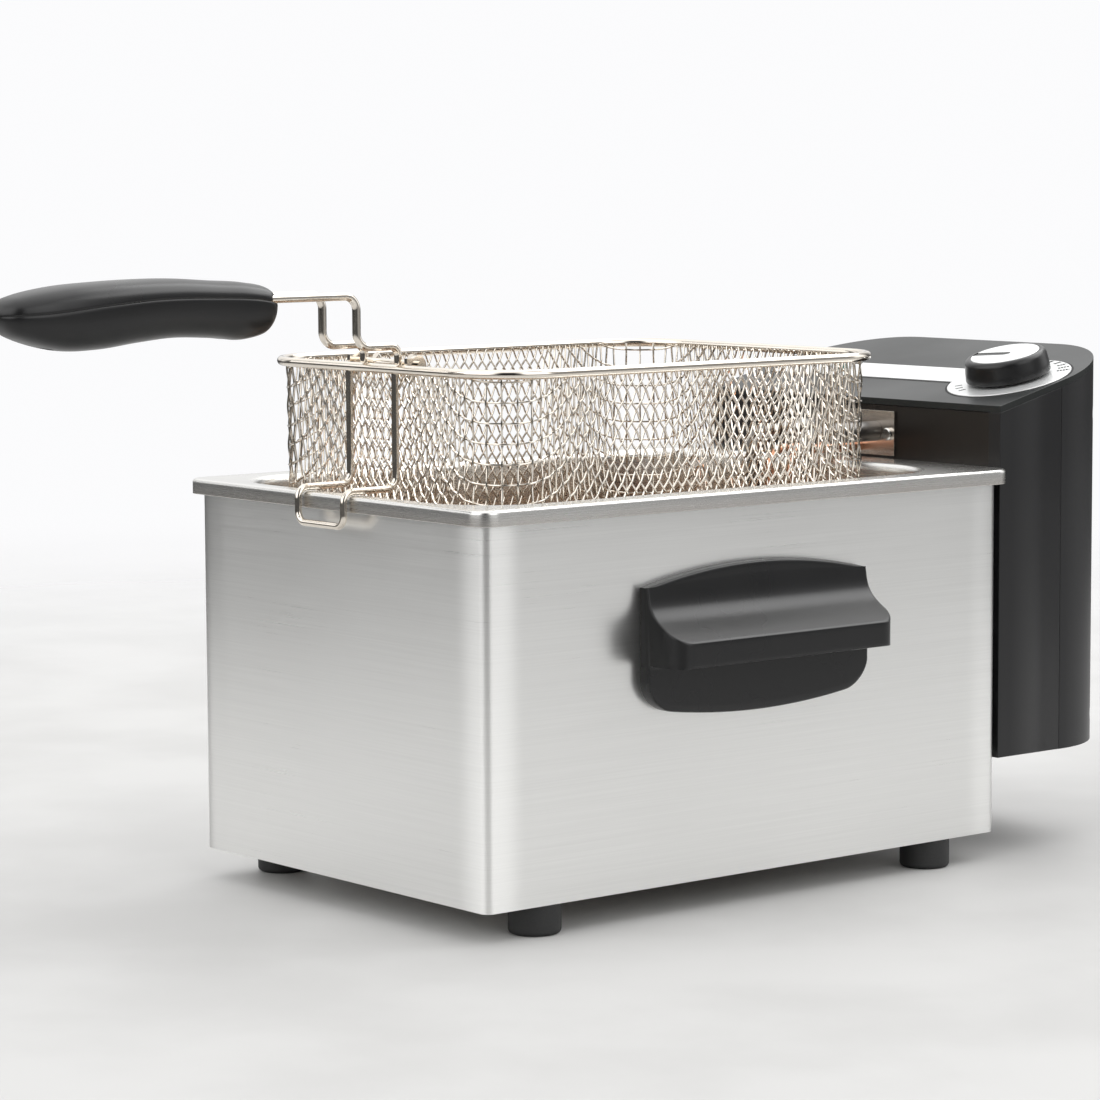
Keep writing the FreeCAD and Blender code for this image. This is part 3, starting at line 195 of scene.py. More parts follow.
def make_studio_light():
    tree = world.node_tree
    tree.nodes.clear()
    direction = tree.nodes.new("ShaderNodeSeparateXYZ")
    tree.links.new(tree.nodes.new("ShaderNodeTexCoord").outputs["Generated"], direction.inputs[0])
    x, y, z = direction.outputs
    # degrees from +X towards the front of the fryer
    around = calculate(tree, "DEGREES", calculate(tree, "ARCTAN2", times(tree, y, -1.0), x))
    height = calculate(tree, "DEGREES", calculate(tree, "ARCSINE", z))
    walls = ramp(tree, height, 35, 60, 1.0, 0.0)
    above = ramp(tree, height, -2, 6)
    light = plus(tree, 0.16, ramp(tree, height, 5, 65, 0.0, 1.15))
    for low, high, strength, soft in PANELS:
        panel = times(tree, band(tree, around, low, high, soft), walls)
        light = plus(tree, light, times(tree, panel, strength))
    gap = times(tree, band(tree, around, 26, 54, 6), walls)
    light = times(tree, light, minus(tree, 1.0, times(tree, gap, 0.93)))
    under = plus(tree, 0.10, times(tree, band(tree, around, -75, 0, 25), 0.35))
    light = plus(tree, times(tree, light, above), times(tree, under, minus(tree, 1.0, above)))
    around_light = tree.nodes.new("ShaderNodeBackground")
    tree.links.new(light, around_light.inputs["Strength"])
    plain = tree.nodes.new("ShaderNodeBackground")
    plain.inputs["Color"].default_value = (0.97, 0.97, 0.98, 1)
    plain.inputs["Strength"].default_value = 1.0
    choose = tree.nodes.new("ShaderNodeMixShader")
    tree.links.new(tree.nodes.new("ShaderNodeLightPath").outputs["Is Camera Ray"], choose.inputs["Fac"])
    tree.links.new(around_light.outputs[0], choose.inputs[1])
    tree.links.new(plain.outputs[0], choose.inputs[2])
    output = tree.nodes.new("ShaderNodeOutputWorld")
    tree.links.new(choose.outputs[0], output.inputs["Surface"])


make_studio_light()
print("soft panels around the room:", len(PANELS))


# %% Soft boxes
def soft_box(name, place, target, width, height, power):
    """A large area lamp that faces a point."""
    data = bpy.data.lights.new(name, "AREA")
    data.shape = "RECTANGLE"
    data.size, data.size_y = width, height
    data.energy = power
    lamp = bpy.data.objects.new(name, data)
    bpy.context.scene.collection.objects.link(lamp)
    lamp.location = place
    lamp.rotation_euler = (Vector(place) - Vector(target)).to_track_quat("Z", "Y").to_euler()
    return lamp


soft_box("overhead_box", (-0.3, -0.4, 1.9), CASE_MIDDLE, 2.2, 2.2, 7)
soft_box("back_box", (0.15, 1.3, 1.75), CASE_MIDDLE, 2.6, 1.2, 24)
soft_box("left_box", (-1.6, -1.5, 1.1), CASE_MIDDLE, 1.2, 1.2, 5)

# %% [markdown]
# ## Floor
# The floor is a plain pale worktop, a wide disc that fades into the white room before its edge can be
# seen, so that any camera sees one seamless sweep.
# %% Floor
FLOOR_RADIUS = 1.8


def make_floor():
    mesh = bpy.data.meshes.new("floor")
    work = bmesh.new()
    bmesh.ops.create_circle(work, cap_ends=True, segments=64, radius=FLOOR_RADIUS)
    work.to_mesh(mesh)
    work.free()
    floor = bpy.data.objects.new("floor", mesh)
    bpy.context.scene.collection.objects.link(floor)
    material = bpy.data.materials.new("pale_worktop")
    material.use_nodes = True
    tree = material.node_tree
    shader = tree.nodes["Principled BSDF"]
    shader.inputs["Roughness"].default_value = 0.55
    shader.inputs["Specular IOR Level"].default_value = 0.25
    place = tree.nodes.new("ShaderNodeTexCoord").outputs["Object"]
    noise = tree.nodes.new("ShaderNodeTexNoise")
    noise.inputs["Scale"].default_value = 7.0
    noise.inputs["Detail"].default_value = 6.0
    tree.links.new(place, noise.inputs["Vector"])
    colour = tree.nodes.new("ShaderNodeMix")
    colour.data_type = "RGBA"
    colour.inputs["A"].default_value = (0.50, 0.497, 0.49, 1)
    colour.inputs["B"].default_value = (0.55, 0.547, 0.54, 1)
    tree.links.new(ramp(tree, noise.outputs["Fac"], 0.35, 0.65), colour.inputs["Factor"])
    tree.links.new(colour.outputs["Result"], shader.inputs["Base Color"])
    distance = tree.nodes.new("ShaderNodeVectorMath")
    distance.operation = "LENGTH"
    tree.links.new(place, distance.inputs[0])
    tree.links.new(ramp(tree, distance.outputs["Value"], 0.45, 1.7, 1.0, 0.0), shader.inputs["Alpha"])
    mesh.materials.append(material)
    return floor


print("floor:", make_floor().name)

# %% [markdown]
# ## Effects that several finishes share
# Grain, smudges and warm stains turn up on more than one material. Each is a node group with named
# sockets, built once, and each material places it with its own numbers. All of them read the piece's own
# coordinates in metres, so a grain has the same real size on every piece, and it moves with the piece.
# %% A helper for node groups


def new_group(name, inputs, outputs):
    """A node group with float inputs (name, default) and outputs (name, socket type)."""
    group = bpy.data.node_groups.new(name, "ShaderNodeTree")
    for label, default in inputs:
        kind = "NodeSocketVector" if isinstance(default, tuple) else "NodeSocketFloat"
        socket = group.interface.new_socket(label, in_out="INPUT", socket_type=kind)
        socket.default_value = default
    for label, kind in outputs:
        group.interface.new_socket(label, in_out="OUTPUT", socket_type=kind)
    return group, group.nodes.new("NodeGroupInput").outputs, group.nodes.new("NodeGroupOutput").inputs


def noise_in(tree, vector, scale, detail, roughness=0.5):
    """A noise texture read at a vector."""
    noise = tree.nodes.new("ShaderNodeTexNoise")
    noise.inputs["Detail"].default_value = detail
    noise.inputs["Roughness"].default_value = roughness
    if isinstance(scale, (int, float)):
        noise.inputs["Scale"].default_value = scale
    else:
        tree.links.new(scale, noise.inputs["Scale"])
    tree.links.new(vector, noise.inputs["Vector"])
    return noise.outputs["Fac"]


def scaled_place(tree, scale=(1.0, 1.0, 1.0)):
    """The piece's own coordinates, stretched by a vector socket or a tuple."""
    stretch = tree.nodes.new("ShaderNodeVectorMath")
    stretch.operation = "MULTIPLY"
    tree.links.new(tree.nodes.new("ShaderNodeTexCoord").outputs["Object"], stretch.inputs[0])
    if isinstance(scale, tuple):
        stretch.inputs[1].default_value = scale
    else:
        tree.links.new(scale, stretch.inputs[1])
    return stretch.outputs["Vector"]


def place_parts(tree):
    """The x, y and z of the piece's own coordinates."""
    parts = tree.nodes.new("ShaderNodeSeparateXYZ")
    tree.links.new(scaled_place(tree), parts.inputs[0])
    return parts.outputs


print("helpers for groups:", new_group.__name__, noise_in.__name__, place_parts.__name__)

# %% [markdown]
# ### Brushed grain
# Stainless sheet is brushed with a belt, which leaves thousands of fine scratches all one way. Scratches
# could be modelled or painted; noise stretched a few hundred times along the brushing gives the same
# lines for nothing. The group puts out a tone for the colour, a roughness and a height for a faint bump.
# %% Brushed grain group


def make_brushed_grain():
    group, given, made = new_group(
        "brushed_grain", [("Stretch", (9.0, 9.0, 1500.0)), ("Roughness", 0.3), ("Contrast", 0.1)],
        [("Tone", "NodeSocketFloat"), ("Roughness", "NodeSocketFloat"), ("Height", "NodeSocketFloat")])
    lines = noise_in(group, scaled_place(group, given["Stretch"]), 1.0, 4.0, 0.65)
    clouds = noise_in(group, scaled_place(group), 9.0, 3.0)
    uneven = minus(group, lines, 0.5)
    blotch = times(group, minus(group, clouds, 0.5), 0.35)
    both = plus(group, uneven, blotch)
    change = times(group, both, given["Contrast"])
    group.links.new(plus(group, 1.0, change), made["Tone"])
    rougher = times(group, both, times(group, given["Contrast"], 0.8))
    group.links.new(plus(group, given["Roughness"], rougher, clamp=True), made["Roughness"])
    group.links.new(lines, made["Height"])
    return group


brushed_grain = make_brushed_grain()
print("brushed grain nodes:", len(brushed_grain.nodes))

# %% [markdown]
# ### Moulded grain
# A moulded plastic cover is not perfectly smooth: the mould is spark-etched so that the plastic hides
# finger marks. Two noises of different size give that pebbled skin.
# %% Moulded grain group


def make_moulded_grain():
    group, given, made = new_group(
        "moulded_grain", [("Grain Size", 0.6), ("Roughness", 0.45), ("Variation", 0.08)],
        [("Roughness", "NodeSocketFloat"), ("Height", "NodeSocketFloat")])
    place = scaled_place(group)
    per_metre = calculate(group, "DIVIDE", 1000.0, given["Grain Size"])
    fine = noise_in(group, place, per_metre, 2.0, 0.6)
    coarse = noise_in(group, place, calculate(group, "DIVIDE", per_metre, 4.0), 2.0)
    broad = noise_in(group, place, 14.0, 3.0)
    height = plus(group, times(group, fine, 0.7), times(group, coarse, 0.3))
    group.links.new(height, made["Height"])
    shift = times(group, minus(group, broad, 0.5), given["Variation"])
    shift = times(group, shift, 4.0)
    group.links.new(plus(group, given["Roughness"], shift, clamp=True), made["Roughness"])
    return group


moulded_grain = make_moulded_grain()
print("moulded grain nodes:", len(moulded_grain.nodes))

# %% [markdown]
# ### Heat tint
# Metal that works in hot oil takes a thin straw-coloured film. It is stronger low in the pan and patchy,
# so the mask is a noise added to a slope in height.
# %% Heat tint group


def make_heat_tint():
    group, given, made = new_group(
        "heat_tint", [("Top", 0.2), ("Depth", 0.15), ("Patchiness", 0.4)], [("Mask", "NodeSocketFloat")])
    below = minus(group, given["Top"], place_parts(group)["Z"])
    deep = calculate(group, "DIVIDE", below, given["Depth"], clamp=True)
    patches = noise_in(group, scaled_place(group), 22.0, 4.0)
    patchy = times(group, minus(group, patches, 0.5), given["Patchiness"])
    there = calculate(group, "GREATER_THAN", below, 0.0)
    mask = times(group, plus(group, deep, patchy, clamp=True), there)
    group.links.new(mask, made["Mask"])
    return group


heat_tint = make_heat_tint()
print("shared effects:", [group.name for group in bpy.data.node_groups])

# %% [markdown]
# ## Finishes
# Each finish below is one material: the shader and its fixed numbers stay in the material, and the groups
# only feed what changes over the surface.
# %% A helper for materials


def new_material(name, **constants):
    """A Principled material; constants are set on the shader's own sockets."""
    material = bpy.data.materials.new(name)
    material.use_nodes = True
    shader = material.node_tree.nodes["Principled BSDF"]
    for label, value in constants.items():
        shader.inputs[label.replace("_", " ")].default_value = value
    return material, material.node_tree, shader


def place_group(tree, group, **values):
    """Put a shared effect in a material, with its own values."""
    node = tree.nodes.new("ShaderNodeGroup")
    node.node_tree = group
    for label, value in values.items():
        node.inputs[label.replace("_", " ")].default_value = value
    return node.outputs


def blended(tree, first, second, mask, way="MIX"):
    """One colour where the mask is nought, another where it is one."""
    mix = tree.nodes.new("ShaderNodeMix")
    mix.data_type, mix.blend_type = "RGBA", way
    for label, value in (("A", first), ("B", second), ("Factor", mask)):
        if isinstance(value, tuple):
            mix.inputs[label].default_value = (*value, 1)
        elif isinstance(value, float):
            mix.inputs[label].default_value = value
        else:
            tree.links.new(value, mix.inputs[label])
    return mix.outputs["Result"]


def tinted(tree, colour, tone):
    """A colour times a tone that changes over the surface."""
    return blended(tree, colour, tone, 1.0, "MULTIPLY")


def bump(tree, shader, height):
    """Feed a height in metres to the shader's normal."""
    node = tree.nodes.new("ShaderNodeBump")
    node.inputs["Strength"].default_value = 1.0
    node.inputs["Distance"].default_value = 1.0
    tree.links.new(height, node.inputs["Height"])
    tree.links.new(node.outputs["Normal"], shader.inputs["Normal"])


print("helpers for finishes:", new_material.__name__, place_group.__name__, bump.__name__)

# %% [markdown]
# ### Stainless steel
# The case and the pan are brushed stainless sheet. The scratches run level round the fryer, so a
# highlight on them stretches up and down: that is anisotropy, turned a quarter from the tangent that
# circles the upright axis. The sheet is also a little rounded for a few millimetres before each bend,
# where the press pulled it, and a low bump there lets the bends catch the light as wide soft bands.
# %% Steel finishes
SCRATCH_DEPTH = 0.012 * MM
CROWN_WIDTH = 20 * MM
CROWN_SLOPE = 0.36


def steel(name, colour, roughness, contrast, stretch, anisotropy=0.0, bend_crown=False, tint=None):
    material, tree, shader = new_material(name, Metallic=1.0, Anisotropic=anisotropy,
                                          Anisotropic_Rotation=0.25)
    grain = place_group(tree, brushed_grain, Stretch=stretch, Roughness=roughness, Contrast=contrast)
    base = tinted(tree, colour, grain["Tone"])
    if tint is not None:
        stain = place_group(tree, heat_tint, Top=tint[0], Depth=tint[1], Patchiness=tint[2])
        base = blended(tree, base, tint[3], stain["Mask"])
    tree.links.new(base, shader.inputs["Base Color"])
    tree.links.new(grain["Roughness"], shader.inputs["Roughness"])
    height = times(tree, grain["Height"], SCRATCH_DEPTH)
    if bend_crown:
        height = plus(tree, height, crown_height(tree))
    bump(tree, shader, height)
    if anisotropy:
        tangent = tree.nodes.new("ShaderNodeTangent")
        tangent.direction_type, tangent.axis = "RADIAL", "Z"
        tree.links.new(tangent.outputs[0], shader.inputs["Tangent"])
    return material


def crown_height(tree):
    """How far the sheet falls away near the four upright bends, in metres."""
    place = place_parts(tree)
    half = (case_high - case_low) / 2
    falls = []
    for value, middle, reach in ((place["X"], CASE_MIDDLE.x, half.x), (place["Y"], CASE_MIDDLE.y, half.y)):
        out = calculate(tree, "ABSOLUTE", minus(tree, value, middle))
        into = minus(tree, out, reach - CROWN_WIDTH)
        into = calculate(tree, "MAXIMUM", into, 0.0)
        square = times(tree, into, into)
        falls.append(times(tree, square, -CROWN_SLOPE / (2 * CROWN_WIDTH)))
    return plus(tree, *falls)


STEEL = (0.91, 0.91, 0.895)
case_steel = steel("brushed_case", STEEL, 0.30, 0.16, (9.0, 9.0, 1500.0), 0.55, bend_crown=True)
pan_steel = steel("pan_sheet", (0.74, 0.735, 0.715), 0.27, 0.08, (12.0, 12.0, 1300.0), 0.0,
                  tint=(RIM_TOP - 2 * MM, 0.03, 0.3, (0.60, 0.44, 0.32)))
bracket_steel = steel("bracket_sheet", (0.62, 0.57, 0.52), 0.22, 0.12, (20.0, 20.0, 900.0))
fastener_zinc = steel("plated_screws", (0.70, 0.69, 0.66), 0.22, 0.2, (300.0, 300.0, 300.0))
sheath_steel = steel("element_tube", (0.20, 0.19, 0.18), 0.34, 0.3, (90.0, 90.0, 90.0),
                     tint=(0.16, 0.12, 0.5, (0.16, 0.11, 0.08)))
copper = steel("copper_tube", (0.80, 0.42, 0.27), 0.3, 0.2, (200.0, 200.0, 200.0))
print("steel finishes:", [metal.name for metal in (case_steel, pan_steel, bracket_steel, fastener_zinc,
                                                    sheath_steel, copper)])

# %% [markdown]
# ### Chromed wire
# The basket is steel wire with a bright plating. Chrome is a near mirror; its colour here also carries a
# warm gold cast that is painted reflection of golden fried food in the basket, and a small patchy roughness
# keeps it from looking like computer glass.
# %% Chrome finish


def speckled(name, first, second, per_metre, detail, roughness=None, **constants):
    """A finish that wanders between two colours and, if they are given, between two roughnesses."""
    material, tree, shader = new_material(name, **constants)
    patches = noise_in(tree, scaled_place(tree), per_metre, detail)
    tree.links.new(blended(tree, first, second, patches), shader.inputs["Base Color"])
    if roughness is not None:
        tree.links.new(ramp(tree, patches, 0.3, 0.7, *roughness), shader.inputs["Roughness"])
    return material


# painted reflection: the warm gold in both colours stands in for fried food reflected in the chrome
wire_chrome = speckled("chrome_with_painted_gold_reflection", (0.86, 0.81, 0.74), (0.74, 0.67, 0.58), 60.0, 3.0, (0.05, 0.12),
                       Metallic=1.0)
print("chrome nodes:", len(wire_chrome.node_tree.nodes))

# %% [markdown]
# ### Moulded plastics, rubber and lacquer
# All the dark pieces are moulded. They differ in how smooth the mould was: the handles are satin, the
# control head has a fine etched grain, and the rubber feet are dull.
# %% Plastic finishes


def side_crown(tree, front_mm, rear_mm, slope):
    """A gentle swell along a casing's flat side, in metres: it turns away towards the rear."""
    into = minus(tree, place_parts(tree)["Y"], along(front_mm))
    into = calculate(tree, "MINIMUM", calculate(tree, "MAXIMUM", into, 0.0), (rear_mm - front_mm) * MM)
    return times(tree, times(tree, into, into), -slope / (2 * (rear_mm - front_mm) * MM))


def moulded(name, colour, roughness, grain_size, depth, crown=None, shine=0.45):
    """A moulded plastic; the grain's size and depth are in millimetres."""
    material, tree, shader = new_material(name, Specular_IOR_Level=shine)
    grain = place_group(tree, moulded_grain, Grain_Size=grain_size, Roughness=roughness, Variation=0.06)
    tone = ramp(tree, grain["Height"], 0.3, 0.7, 0.9, 1.1)
    tree.links.new(tinted(tree, colour, tone), shader.inputs["Base Color"])
    tree.links.new(grain["Roughness"], shader.inputs["Roughness"])
    height = times(tree, grain["Height"], depth * MM)
    if crown is not None:
        height = plus(tree, height, side_crown(tree, *crown))
    bump(tree, shader, height)
    return material


handle_black = moulded("satin_black", (0.0065, 0.0065, 0.007), 0.30, 0.5, 0.008)
head_black = moulded("etched_black", (0.009, 0.009, 0.010), 0.36, 0.45, 0.02)
head_side = moulded("etched_black_side", (0.009, 0.009, 0.010), 0.33, 0.45, 0.02, crown=(158, 190, 0.62))
cover_grey = moulded("cover_grey", (0.016, 0.018, 0.0175), 0.36, 0.45, 0.012, shine=0.3)
plate_dark = moulded("coated_plate", (0.010, 0.0075, 0.006), 0.32, 0.8, 0.008)
rubber = moulded("foot_rubber", (0.020, 0.020, 0.020), 0.62, 0.9, 0.05)
inner_plastic = moulded("inner_plastic", (0.62, 0.58, 0.50), 0.5, 0.7, 0.02)
# the same black ink prints the heat marks and paints the shade in the gaps round the dial and the strip
ink_and_painted_gap_shade = moulded("printing_ink_and_painted_gap_shade", (0.006, 0.006, 0.006), 0.7, 0.3, 0.005)
# silver paint is fine metal flake under a satin clear coat, and the pilot lamp's lens is unlit
silver = speckled("silver_lacquer", (0.70, 0.71, 0.71), (0.86, 0.87, 0.86), 2600.0, 1.0, (0.32, 0.46),
                  Metallic=0.55, Coat_Weight=0.3, Coat_Roughness=0.2)
lens_teal = speckled("pilot_lens", (0.02, 0.22, 0.20), (0.04, 0.34, 0.30), 400.0, 2.0,
                     Transmission_Weight=0.5, IOR=1.5, Roughness=0.12)
print("materials made here:", sorted(m.name for m in set(bpy.data.materials) - frame_materials))

# %% [markdown]
# ## The woven basket
# A fryer's basket is one blank of woven wire pressed into a tray. In its corners the mesh is hardly
# strained, so it shows near squares; along the walls it is sheared into tall lozenges. Modelling the frame's
# thin tray with a see-through pattern on it would look flat and could not catch the light, so every wire
# is modelled. Two families of lines cross: family A climbs, family B runs across the corner, and both
# are found from one pair of functions that turn from squares to lozenges away from the corner.
# %% The basket's lines
WIRE = 0.43
WEAVE = 0.4
mesh_low, mesh_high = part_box("basket_mesh")
mesh_middle = (mesh_low + mesh_high) / 2
HALF_X = (mesh_high.x - mesh_low.x) / 2 / MM - WIRE - 0.1
HALF_Y = (mesh_high.y - mesh_low.y) / 2 / MM - WIRE - 0.1
CORNER = 27.4
FLOOR_ROUND = 11.4
WALL_START = mesh_low.z / MM + WIRE + FLOOR_ROUND
WALL_HEIGHT = mesh_high.z / MM - WALL_START
ROW = 8.4
SQUARE = 6.5
LOZENGE = 5.1
HALF_ARC = math.pi * CORNER / 4


def strain(t):
    """Nought where the mesh is square, one where it is fully sheared; t is the distance from the corner."""
    return smoothstep((np.abs(t) - 10) / 50)


def climb(t):
    """How strongly the lines across the corner climb towards the wall."""
    return smoothstep(np.abs(t) / 60)


def wall_tables(length):
    """Running counts of both families along half a wall, with a whole number of wires in total."""
    t = np.linspace(0, length, 1200)
    step = t[1] - t[0]

    def total(values):
        return np.concatenate([[0], np.cumsum((values[1:] + values[:-1]) / 2) * step])

    square, sheared, climbing = total(1 - strain(t)), total(strain(t)), total(climb(t))
    count = round(square[-1] / SQUARE + (sheared[-1] + climbing[-1]) / LOZENGE)
    width = (sheared[-1] + climbing[-1]) / (count - square[-1] / SQUARE)
    return t, square / SQUARE + sheared / width, climbing / width


LONG_HALF = HALF_Y - CORNER + HALF_ARC
SHORT_HALF = HALF_X - CORNER + HALF_ARC
tables = {1: wall_tables(LONG_HALF), -1: wall_tables(SHORT_HALF)}
print("wires along half a long wall:", round(tables[1][1][-1]), "and half a short one:",
      round(tables[-1][1][-1]))

# %% [markdown]
# ### From lines to places
# A line is drawn on the flat blank as (distance from the corner, height). This function folds it onto
# the tray: round the corner, up the slightly leaning wall, and under the rounded lower edge.
# %% Fold the blank onto the tray


def fold(corner, t, height, offset):
    """Points on the tray and the outward directions there; all in millimetres from the basket's middle."""
    side, end = corner
    centre = np.array([side * (HALF_X - CORNER), end * (HALF_Y - CORNER)])
    angle = np.clip(t, -HALF_ARC, HALF_ARC) / CORNER
    diagonal = np.array([side, end]) / math.sqrt(2)
    across = np.array([side, -end]) / math.sqrt(2)
    outward = np.cos(angle)[:, None] * diagonal + np.sin(angle)[:, None] * across
    past_long = np.maximum(t - HALF_ARC, 0)[:, None] * np.array([0, -end])
    past_short = np.maximum(-t - HALF_ARC, 0)[:, None] * np.array([-side, 0])
    under = np.maximum(-height, 0) / FLOOR_ROUND
    lean = 1.0 * (1 - np.clip(height / WALL_HEIGHT, 0, 1))
    inset = lean + FLOOR_ROUND * (1 - np.cos(under))
    plan = centre + outward * (CORNER - inset)[:, None] + past_long + past_short
    up = np.where(height > 0, height, -FLOOR_ROUND * np.sin(under)) + WALL_START
    normal = np.column_stack([outward * np.cos(under)[:, None], -np.sin(under)])
    place = np.column_stack([plan, up]) + normal * offset[:, None]
    return place, normal


def tube(place, normal, radius):
    """Points and faces of a thin wire along a line, closed at both ends."""
    along_line = np.gradient(place, axis=0)
    along_line /= np.linalg.norm(along_line, axis=1)[:, None]
    beside = np.cross(along_line, normal)
    beside /= np.linalg.norm(beside, axis=1)[:, None]
    above = np.cross(beside, along_line)
    rings, sides = [], 6
    for k in range(sides):
        angle = 2 * math.pi * k / sides
        rings.append(place + radius * (math.cos(angle) * above + math.sin(angle) * beside))
    points = np.stack(rings, axis=1).reshape(-1, 3)
    faces = grid_faces(len(place), sides, wrap=True)
    ends = [tuple(range(sides))[::-1], tuple(range(len(points) - sides, len(points)))]
    return points, faces + ends


def weave_basket():
    """Every wire of the four walls, as (place, normal) lines."""
    lines = []
    lowest = -FLOOR_ROUND * math.pi / 2
    corners = [((-1, -1), 1), ((1, -1), -1), ((1, 1), 1), ((-1, 1), -1)]
    for corner, turn_sign in corners:
        heights = np.arange(lowest, WALL_HEIGHT + 0.01, ROW / 8)
        for direction in (1, -1):
            t_table, count_a, count_b = tables[direction]
            for n in range(0 if direction == 1 else 1, int(count_a[-1] + WALL_HEIGHT / ROW) + 1):
                t = np.array([np.interp(n, count_a + strain(t_table) * z / ROW, t_table, right=np.nan,
                                        left=0.0 if n == 0 else np.nan) for z in heights])
                here = ~np.isnan(t)
                if here.sum() < 4:
                    continue
                t, z = t[here], heights[here]
                phase = z / ROW - np.interp(t, t_table, count_b)
                lift = turn_sign * WEAVE * np.cos(math.pi * phase) * (-1) ** n
                lines.append(fold(corner, direction * t, z, lift))
        t = np.arange(-SHORT_HALF, LONG_HALF, LOZENGE / 4)
        count_a = np.where(t > 0, np.interp(t, *tables[1][:2]), np.interp(-t, *tables[-1][:2]))
        count_b = np.where(t > 0, np.interp(t, tables[1][0], tables[1][2]),
                           np.interp(-t, tables[-1][0], tables[-1][2]))
        for m in range(-int(count_b.max()) - 4, int(WALL_HEIGHT / ROW) + 1):
            z = ROW * (m + count_b)
            inside = (z >= lowest) & (z <= WALL_HEIGHT)
            edges = np.flatnonzero(np.diff(np.concatenate([[0], inside.astype(int), [0]])))
            for first, last in zip(edges[::2], edges[1::2]):
                if last - first < 4:
                    continue
                part = slice(first, last)
                phase = count_a[part] + strain(t[part]) * z[part] / ROW
                lift = -turn_sign * WEAVE * np.cos(math.pi * phase) * (-1) ** m
                lines.append(fold(corner, t[part], z[part], lift))
    return lines


wall_lines = weave_basket()
print("wires in the basket's walls:", len(wall_lines))

# %% [markdown]
# ### The basket's floor
# The floor is the unstrained middle of the blank: plain squares lying cornerwise, cut to the tray's
# rounded outline.
# %% Weave the floor
FLOOR_PITCH = 7.2


def weave_floor():
    lines = []
    half = np.array([HALF_X, HALF_Y]) - FLOOR_ROUND - 1
    bend = CORNER - FLOOR_ROUND - 1
    level = mesh_low.z / MM + WIRE
    reach = float(half.sum()) / math.sqrt(2)
    s = np.arange(-reach, reach, FLOOR_PITCH / 4)
    for direction in (1, -1):
        for n in range(-int(reach / FLOOR_PITCH), int(reach / FLOOR_PITCH) + 1):
            across = n * FLOOR_PITCH
            x = (s - direction * across) / math.sqrt(2)
            y = direction * (s + direction * across) / math.sqrt(2)
            past = np.maximum(np.abs(np.column_stack([x, y])) - (half - bend), 0)
            inside = np.hypot(past[:, 0], past[:, 1]) <= bend
            if inside.sum() < 4:
                continue
            lift = direction * WEAVE * np.cos(math.pi * s / FLOOR_PITCH) * (-1) ** n
            place = np.column_stack([x, y, level + lift])[inside]
            lines.append((place, np.tile([0.0, 0.0, -1.0], (len(place), 1))))
    return lines


def make_basket():
    """All wires in one mesh, in the basket's place."""
    points, faces = [], []
    shift = np.array([mesh_middle.x, mesh_middle.y, 0])
    start = 0
    for place, normal in wall_lines + weave_floor():
        ring_points, ring_faces = tube(place, normal, WIRE)
        points.append(ring_points * MM + shift)
        faces += [tuple(start + index for index in face) for face in ring_faces]
        start += len(ring_points)
    basket = new_piece("woven_basket", np.concatenate(points), faces, "basket",
                       wire_chrome, 60)
    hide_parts("basket_mesh")
    return basket


woven_basket = make_basket()
print("the basket has", len(woven_basket.data.polygons), "faces")

# %% [markdown]
# ## The grip
# The basket's grip is two moulded shells screwed together from below. Seen from the side it swells towards
# the end, and its section is a fat oval. A box with a subdivision modifier could give the shape, but
# stations along the length, each with a top, an underside and a half width, are easier to measure and to
# change. The seam between the shells shows as a fine groove.
# %% Grip stations
GRIP_STATIONS = [  # along, top, underside, half width
    (-306.5, 260.2, 248.6, 9.5), (-293, 263.6, 243.4, 14.2), (-280, 265.6, 240.4, 15.6),
    (-262, 266.8, 240.2, 16.0), (-244, 267.4, 242.2, 15.6), (-226, 267.3, 243.6, 15.0),
    (-208, 266.1, 242.9, 14.6), (-192, 264.9, 241.8, 14.4), (-184, 263.3, 243.5, 13.6),
    (-178, 259.6, 246.3, 11.5)]
SEAM = [(-306, 254.6), (-288, 255.5), (-264, 257.7), (-239, 259.4), (-214, 259.3), (-188, 257.7),
        (-178, 256.0)]
NOSE, TAIL = -306.3, -178.2
GROOVE = 0.35


def rounded_end(distance, length):
    """A factor that goes from nought to one over a rounded end."""
    u = np.clip(1 - distance / length, 0, 1)
    return (1 - u ** 2.4) ** (1 / 2.4)


def grip_half(name, direction, node):
    """One moulded shell: direction 1 is the upper one, -1 the lower one."""
    u = np.concatenate([np.linspace(0, 1, 22) ** 2.2 * 0.12, np.linspace(0.13, 0.9, 46),
                        1 - np.linspace(1, 0, 20) ** 2.2 * 0.09])
    y = NOSE + 0.02 + (TAIL - NOSE - 0.04) * u
    kept = np.clip(y, -306.5, -178)
    top, under, half = (smooth_through([(s[0], s[k]) for s in GRIP_STATIONS], kept) for k in (1, 2, 3))
    seam = smooth_through(SEAM, y)
    ends = np.minimum(rounded_end(y - NOSE, 7), rounded_end(TAIL - y, 7))
    depth = (top - seam if direction > 0 else seam - under) * ends
    width = half * (0.25 + 0.75 * ends) * np.where(ends < 0.05, ends / 0.05, 1)
    theta = np.concatenate([[0, 0.012, 0.03, 0.06], np.linspace(0.1, math.pi - 0.1, 33),
                            math.pi - np.array([0.06, 0.03, 0.012, 0])])
    cosine, sine = np.cos(theta), np.sin(theta)
    across = np.sign(cosine) * np.abs(cosine) ** 0.8
    up = np.abs(sine) ** 0.8
    points = []
    for place, w, d, s in zip(y, width, depth, seam):
        rise = d * up
        groove = GROOVE * np.exp(-(rise / 0.35) ** 2) * min(1, w / 3)
        x = across * w - np.sign(across) * groove
        points += [(px * MM, along(place), (s + direction * (rise + 0.03)) * MM)
                   for px, rise in zip(x, rise)]
    faces = grid_faces(len(y), len(theta), wrap=True)
    faces += [tuple(range(len(theta))), tuple(range(len(points) - len(theta), len(points)))]
    shell = new_piece(name, points, faces, "basket_handle", handle_black, 50)
    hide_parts(node)
    return shell


